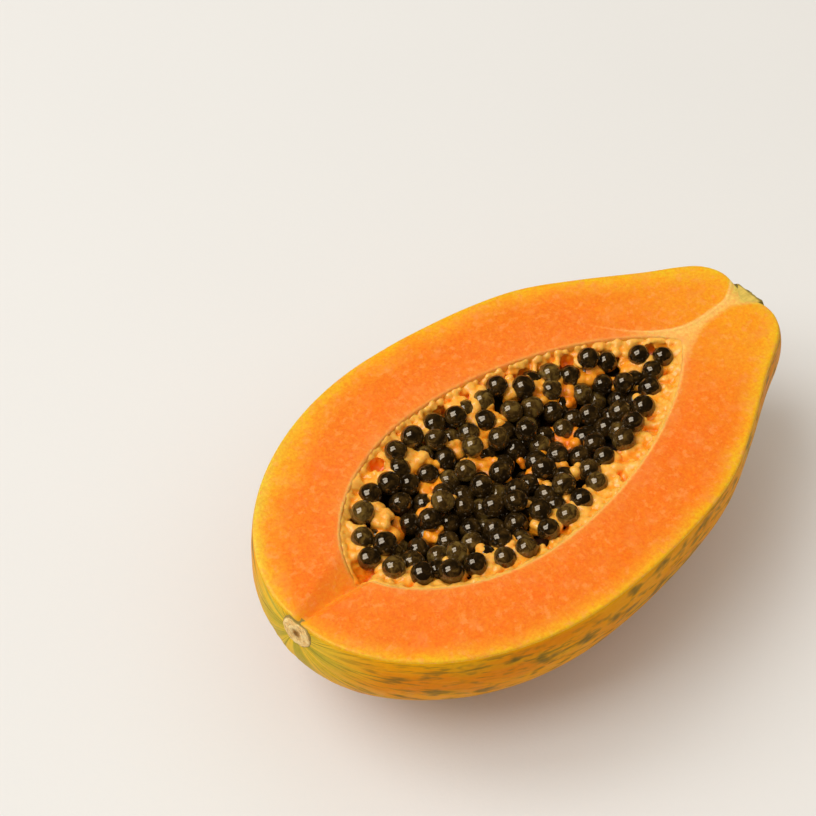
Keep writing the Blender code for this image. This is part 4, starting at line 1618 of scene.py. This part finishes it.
    @staticmethod
    def evened(edges: np.ndarray, values: np.ndarray, rounds: int = 9) -> np.ndarray:
        """Draws values at the points of a mesh towards the mean of their neighbours.

        Args:
            edges: The two points of each edge.
            values: A row of values for each point.
            rounds: How often they are drawn.

        Returns:
            The evened values.
        """
        count = len(values)
        first, second = edges.T
        degree = np.bincount(edges.ravel(), minlength=count).clip(1)
        for _ in range(rounds):
            total = np.column_stack([
                np.bincount(first, column[second], count) + np.bincount(second, column[first], count)
                for column in values.T
            ])
            values = 0.5 * values + 0.5 * total / degree[:, None]
        return values

    def relief(self, place: Vector) -> float:
        """How far the skin stands out at a place, by three sizes of noise."""
        return sum(height * noise.noise(place * scale) for height, scale in self.relief_layers)

    def build(self) -> Piece:
        """Models the pulp: balls are merged into one skin, sockets are pressed in, the skin is roughened."""
        self.empty_sockets()
        self.layer()
        self.bead()
        self.ridges()
        self.near_band()
        self.crests()
        self.heap_bits()
        self.filling()
        self.corner_filling()
        pulp = self.blended()
        count = len(pulp.data.vertices)
        points, normals = np.empty(count * 3), np.empty(count * 3)
        pulp.data.vertices.foreach_get("co", points)
        pulp.data.vertices.foreach_get("normal", normals)
        points, normals = points.reshape(-1, 3), normals.reshape(-1, 3)
        pressed = self.press_sockets(points)
        edges = np.empty(len(pulp.data.edges) * 2, dtype=np.int32)
        pulp.data.edges.foreach_get("vertices", edges)
        evened = self.evened(edges.reshape(-1, 2), np.column_stack([points, pressed]))
        hollow_shade = np.clip(((evened[:, :3] - points) * normals).sum(1) / self.full_dent, -1, 1)
        points += normals * np.array([self.relief(Vector(p)) for p in points])[:, None]
        top = self.form.height - self.under_face
        points[:, 2] = np.where(points[:, 2] > top, top + 0.2 * (points[:, 2] - top), points[:, 2])
        pulp.data.vertices.foreach_set("co", points.ravel())
        # Painted shade: the pulp's colour runs deeper the lower it lies, in its hollows and in the pressed
        # sockets.
        rise = np.clip(1 + (points[:, 2] - self.form.height) / self.deep, 0, 1)
        rise = np.clip(rise - 0.34 * hollow_shade - 0.06 * evened[:, 3], 0, 1)
        Bench.note(pulp.data, "rise", rise)
        Bench.modify(pulp, "DECIMATE", ratio=self.kept_share, use_collapse_triangulate=True)
        Bench.smooth(pulp, 180)
        Bench.hand_in(pulp, PulpFinish().make(), Slot.PULP, "papaya_half")
        return pulp


@dataclass
class Seeds:
    """The heap of seeds: those that show, a layer under them, and the bed that they lie on."""

    form: FruitForm
    heap: HeapForm
    kinds: int = 6
    dent: float = 0.045
    size_range: tuple[float, float] = (0.94, 1.04)
    layer_drops: int = 2600
    layer_fall: float = 0.0036
    layer_contact: float = 0.0050
    bed_points: int = 72
    bed_clearance: float = 0.0013
    bed_fall: float = 0.0038

    def kind(self, number: int, finer: int) -> Piece:
        """One kind of seed: a ball with shallow dents, a little longer than wide.

        Args:
            number: Which kind it is.
            finer: How often its faces are divided.

        Returns:
            The seed, at the origin.
        """
        Bench.clear()
        bpy.ops.mesh.primitive_ico_sphere_add(subdivisions=finer, radius=self.heap.seed_radius)
        seed = Bench.named(f"seed_kind_{number}_{finer}")
        bpy.ops.object.mode_set(mode="EDIT")
        bpy.ops.mesh.select_all(action="SELECT")
        bpy.ops.transform.resize(value=(1.0, 1.0, 1.02 + 0.012 * number))
        bpy.ops.object.mode_set(mode="OBJECT")
        for v in seed.data.vertices:
            way = v.co.normalized()
            swell = noise.noise(way * 1.5 + Vector((number * 7.3, 0, 0)))
            swell += 0.35 * noise.noise(way * 4.2 + Vector((0, number * 5.1, 0)))
            v.co *= 1 + self.dent * swell
        return seed

    def turned(self, middle: Vector, rng: random.Random) -> Matrix:
        """A place for a seed, with a turn and a size of its own."""
        axis = Vector((rng.uniform(-1, 1), rng.uniform(-1, 1), rng.uniform(-1, 1))).normalized()
        turn = Matrix.Rotation(rng.uniform(0, 2 * math.pi), 4, axis)
        size = Matrix.Scale(rng.uniform(*self.size_range), 4)
        return Matrix.Translation(self.form.placed(middle)) @ turn @ size

    def lower_layer(self, rng: random.Random) -> list[Vector]:
        """Seeds that fill the gaps below those that show."""
        hollow = self.heap.hollow
        places = []
        for i in range(self.layer_drops):
            x = rng.uniform(*hollow.run)
            y = hollow.rim_offset + rng.uniform(-1, 1) * hollow.rim_half_width
            if hollow.clearance(x, y, self.heap.edge_inset) <= 0:
                continue
            drop = self.layer_fall * i / self.layer_drops
            middle = Vector((x, y, self.heap.height(x, y) + 0.0006 - drop))
            if min((middle - s).length for s in self.heap.seeds + places) > self.layer_contact:
                places.append(middle)
        return places

    def bed(self) -> Piece:
        """The body of the heap under the seeds, clear of the hollow's wall."""
        hollow = self.heap.hollow
        rings = []
        for inset, height in reversed(hollow.wall[2:]):
            wall = ring(hollow.rim_curve(inset + self.bed_clearance), self.bed_points)
            rings.append([Vector((p.x, p.y, height + self.bed_clearance)) for p in wall])
        for share in (0.0, 0.15, 0.3, 0.45, 0.6, 0.75, 0.9):
            inset = 0.0045 + share * hollow.rim_half_width * 0.8
            level = []
            for p in ring(hollow.rim_curve(inset), self.bed_points):
                y = p.y + hollow.near_band(p.x, p.y)
                level.append(Vector((p.x, y, self.heap.height(p.x, y) - self.bed_fall)))
            rings.append(level)
        placed = [[self.form.placed(p) for p in level] for level in rings]
        return Bench.smooth(Bench.wrapped("seed_bed", placed, {}), 80)

    def build(self) -> list[Piece]:
        """Models the seeds that show, the layer under them and the bed."""
        rng = random.Random(RANDOM_SEED + 2)
        top = [self.turned(seed, rng) for seed in self.heap.seeds]
        low = [self.turned(seed, rng) for seed in self.lower_layer(rng)]
        shown = Bench.scattered("seeds_on_top", [self.kind(n, 3) for n in range(self.kinds)], top)
        under = Bench.scattered("seeds_below", [self.kind(n, 2) for n in range(self.kinds)], low)
        bed = self.bed()
        finish = SeedFinish().make()
        for made in (shown, under):
            Bench.smooth(made, 180)
            Bench.hand_in(made, finish, Slot.SEEDS, "seeds")
        Bench.hand_in(bed, DeepShadeBedFinish().make(), Slot.SEEDS, "seeds")
        log.info("seeds: %d on top, %d below", len(top), len(low))
        return [shown, under, bed]


@dataclass
class Scar:
    """The flower's scar: a low cracked cushion, a little uneven round its edge."""

    form: FruitForm
    hollow: HollowForm
    sides: int = 72
    height: float = 0.0006
    under_face: float = 0.0005
    shift: Vector = field(default_factory=lambda: Vector((0.0001, -0.0013, 0.0016)))
    spread: float = 0.89
    lobes: float = 0.008
    unevenness: float = 0.014
    crumble: float = 0.45
    crease_share: float = 0.45
    outline: tuple[tuple[float, float], ...] = (
        (1.02, -3.0), (1.05, -1.0), (1.02, 0.0), (0.96, 0.60), (0.88, 1.05), (0.80, 1.10), (0.70, 1.20),
        (0.60, 1.30), (0.50, 1.35), (0.42, 1.30), (0.33, 1.20), (0.24, 1.10), (0.14, 1.15), (0.06, 1.25),
    )
    outwards: Vector = field(default_factory=lambda: Vector((-1.0, -0.16, 0.10)))

    def build(self) -> Piece:
        """Models the scar as rings round its own middle."""
        middle = self.form.placed(Vector(self.form.scar_centre) + self.shift)
        turn = Vector((0, 0, 1)).rotation_difference(self.outwards).to_matrix()
        rings, out, rays = [], [], []
        for reach, rise in self.outline:
            level = []
            for i in range(self.sides):
                angle = 2 * math.pi * i / self.sides
                way = Vector((math.cos(angle), math.sin(angle), 0))
                wide = 1 + self.lobes * math.cos(8 * angle + 0.5) + self.unevenness * noise.noise(way * 1.7)
                radius = reach * self.spread * self.form.scar_radius * wide
                crumble = self.crumble * noise.noise(Vector((way.x * 5, way.y * 5, reach * 8)))
                crumble = crumble if rise > -1 else 0
                point = middle + turn @ (way * radius + Vector((0, 0, (rise + crumble) * self.height)))
                crease = self.crease_share * self.hollow.crease_depth(point.x + self.form.rest_along, point.y)
                point.z = min(point.z, self.form.height - self.under_face - crease)
                level.append(point)
            rings.append(level)
            out.append([reach] * self.sides)
            angles = [2 * math.pi * i / self.sides for i in range(self.sides)]
            rays.append([(1.3 * math.cos(a), 1.3 * math.sin(a), 11.0 * reach) for a in angles])
        scar = Bench.smooth(Bench.wrapped("flower_scar", rings, {"out": out, "rays": rays}), 60)
        Bench.hand_in(scar, ScarFinish().make(), Slot.STEM, "papaya_half")
        return scar


@dataclass
class StemEnd:
    """What is left of the stem: a short plug, cut flat with the fruit and rough at its end."""

    form: FruitForm
    centre: tuple[float, float, float] = (0.1700, -0.0012, -0.0060)
    radius: float = 0.0078
    root: float = 0.1600
    cut: float = 0.00008
    brim: float = 0.0009
    voxel: float = 0.00028
    bulge: float = 0.0009
    end_relief: float = 0.0006
    end_lobes: float = 0.0004
    side_relief: float = 0.00012

    def build(self) -> Piece:
        """Models the plug: a cone is widened, roughened, cut flat and softened at its edges."""
        length = self.centre[0] - self.root
        middle = self.form.placed(Vector((self.centre[0] - length / 2, self.centre[1], self.centre[2])))
        Bench.clear()
        bpy.ops.mesh.primitive_cone_add(
            vertices=48, radius1=0.55 * self.radius, radius2=self.radius, depth=length, location=middle,
            rotation=(0, math.pi / 2, 0),
        )
        stem = Bench.settle(Bench.named("stem_end"))
        bpy.ops.object.mode_set(mode="EDIT")
        bpy.ops.mesh.select_all(action="SELECT")
        bpy.ops.mesh.bisect(
            plane_co=self.form.placed(Vector((0, 0, self.cut))), plane_no=(0, 0, 1),
            clear_outer=True, use_fill=True,
        )
        bpy.ops.object.mode_set(mode="OBJECT")
        Bench.modify(stem, "REMESH", mode="VOXEL", voxel_size=self.voxel)
        end = self.form.placed(Vector(self.centre)).x
        top = self.form.height + self.cut
        bark = []
        for v in stem.data.vertices:
            side = math.hypot(v.co.y - middle.y, v.co.z - middle.z)
            lobe = math.cos(3 * math.atan2(v.co.z - middle.z, v.co.y - middle.y) + 0.6)
            rough = noise.noise(v.co * 420) + 0.5 * noise.noise(v.co * 1100)
            bulge = self.bulge * ease(side, 0.0, 0.6 * self.radius)
            ended = ease(v.co.x, end - 0.0012, end)
            v.co.x += (self.end_relief * rough + self.end_lobes * lobe - bulge) * ended
            flat = ease(v.co.z, top - 0.0004, top)
            v.co.z += self.side_relief * rough * (1 - ended)
            brim = ease(v.co.x, end - bulge - self.brim, end - bulge - 0.3 * self.brim)
            bark.append(max(brim * (0.8 + 0.5 * rough), 0.0 if flat > 0.5 else 0.9))
        Bench.note(stem.data, "bark", np.array(bark))
        Bench.smooth(stem, 50)
        Bench.hand_in(stem, StemFinish().make(), Slot.STEM, "papaya_half")
        return stem


@dataclass
class Studio:
    """The table, the light and the camera."""

    lens: float = 75
    sensor: float = 36
    eye: Vector = field(default_factory=lambda: Vector((-0.20222, -0.19468, 0.42471)))
    aim: Vector = field(default_factory=lambda: Vector((0.3973, 0.4748, -0.7853)))
    light_way: Vector = field(default_factory=lambda: Vector((-0.466, 0.303, 0.827)))
    light_far: float = 2.4
    pane: tuple[float, float] = (0.86, 1.85)
    pane_gap: float = 0.13
    light_power: float = 20.8
    fill_far: float = 2.6
    fill_size: float = 6.0
    fill_power: float = 52.0
    warm: Colour = (0.99, 1.0, 1.0)
    amber: Colour = (1.0, 0.90, 0.78)
    sky_strength: float = 0.335

    def table(self) -> Piece:
        """The surface that the half lies on."""
        Bench.clear()
        bpy.ops.mesh.primitive_plane_add(size=6, location=(0, 0, 0))
        table = Bench.named("table")
        table.data.materials.append(TableFinish().make())
        table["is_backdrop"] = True
        return table

    def lamp(self, name: str, size: tuple[float, float], power: float, tint: Colour) -> Piece:
        """Adds one flat lamp, which shines down.

        Args:
            name: Its name.
            size: Its width and length.
            power: Its power in watts.
            tint: The colour of its light.

        Returns:
            The lamp.
        """
        data = bpy.data.lights.new(name, "AREA")
        data.shape = "RECTANGLE"
        data.size, data.size_y = size
        data.energy = power
        data.color = tint
        return Bench.added(name, data)

    def light(self) -> None:
        """A window of two panes, high on the left, a wide soft fill from above and an even sky."""
        way = self.light_way.normalized()
        turn = way.to_track_quat("Z", "Y")
        for side in (-1, 1):
            pane = self.lamp(f"pane_{side + 1}", self.pane, self.light_power, self.warm)
            shift = turn @ Vector((side * (self.pane[0] + self.pane_gap) / 2, 0, 0))
            pane.location = way * self.light_far + shift
            pane.rotation_euler = turn.to_euler()
        fill = self.lamp("fill", (self.fill_size, self.fill_size), self.fill_power, self.amber)
        fill.location = (0, 0, self.fill_far)
        fill.visible_glossy = False
        world = bpy.data.worlds.new("sky")
        world.use_nodes = True
        back = world.node_tree.nodes["Background"]
        back.inputs["Color"].default_value = (*self.amber, 1)
        back.inputs["Strength"].default_value = self.sky_strength
        world.cycles_visibility.glossy = False
        bpy.context.scene.world = world

    def camera(self) -> Piece:
        """The camera at the photograph's place."""
        data = bpy.data.cameras.new("camera")
        data.lens = self.lens
        data.sensor_width = self.sensor
        data.clip_start = 0.01
        camera = Bench.added("camera", data)
        camera.location = self.eye
        camera.rotation_euler = self.aim.to_track_quat("-Z", "Y").to_euler()
        bpy.context.scene.camera = camera
        return camera

    def build(self) -> None:
        """Sets up the table, the light and the camera."""
        self.table()
        self.light()
        self.camera()
        bpy.context.scene.view_settings.view_transform = "Standard"


def main() -> None:
    """Builds the pieces in order."""
    logging.basicConfig(level=logging.INFO, format="%(name)s: %(message)s")
    form = FruitForm()
    hollow = HollowForm()
    heap = HeapForm(hollow)
    Studio().build()
    Rind(form, hollow).build()
    Flesh(form, hollow).build()
    Scar(form, hollow).build()
    StemEnd(form).build()
    Seeds(form, heap).build()
    Pulp(form, heap).build()
    boxes = {"cad": cad_box, "visual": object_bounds()}
    {name: [list(corner) for corner in box] for name, box in boxes.items()}


if __name__ == "__main__":
    main()
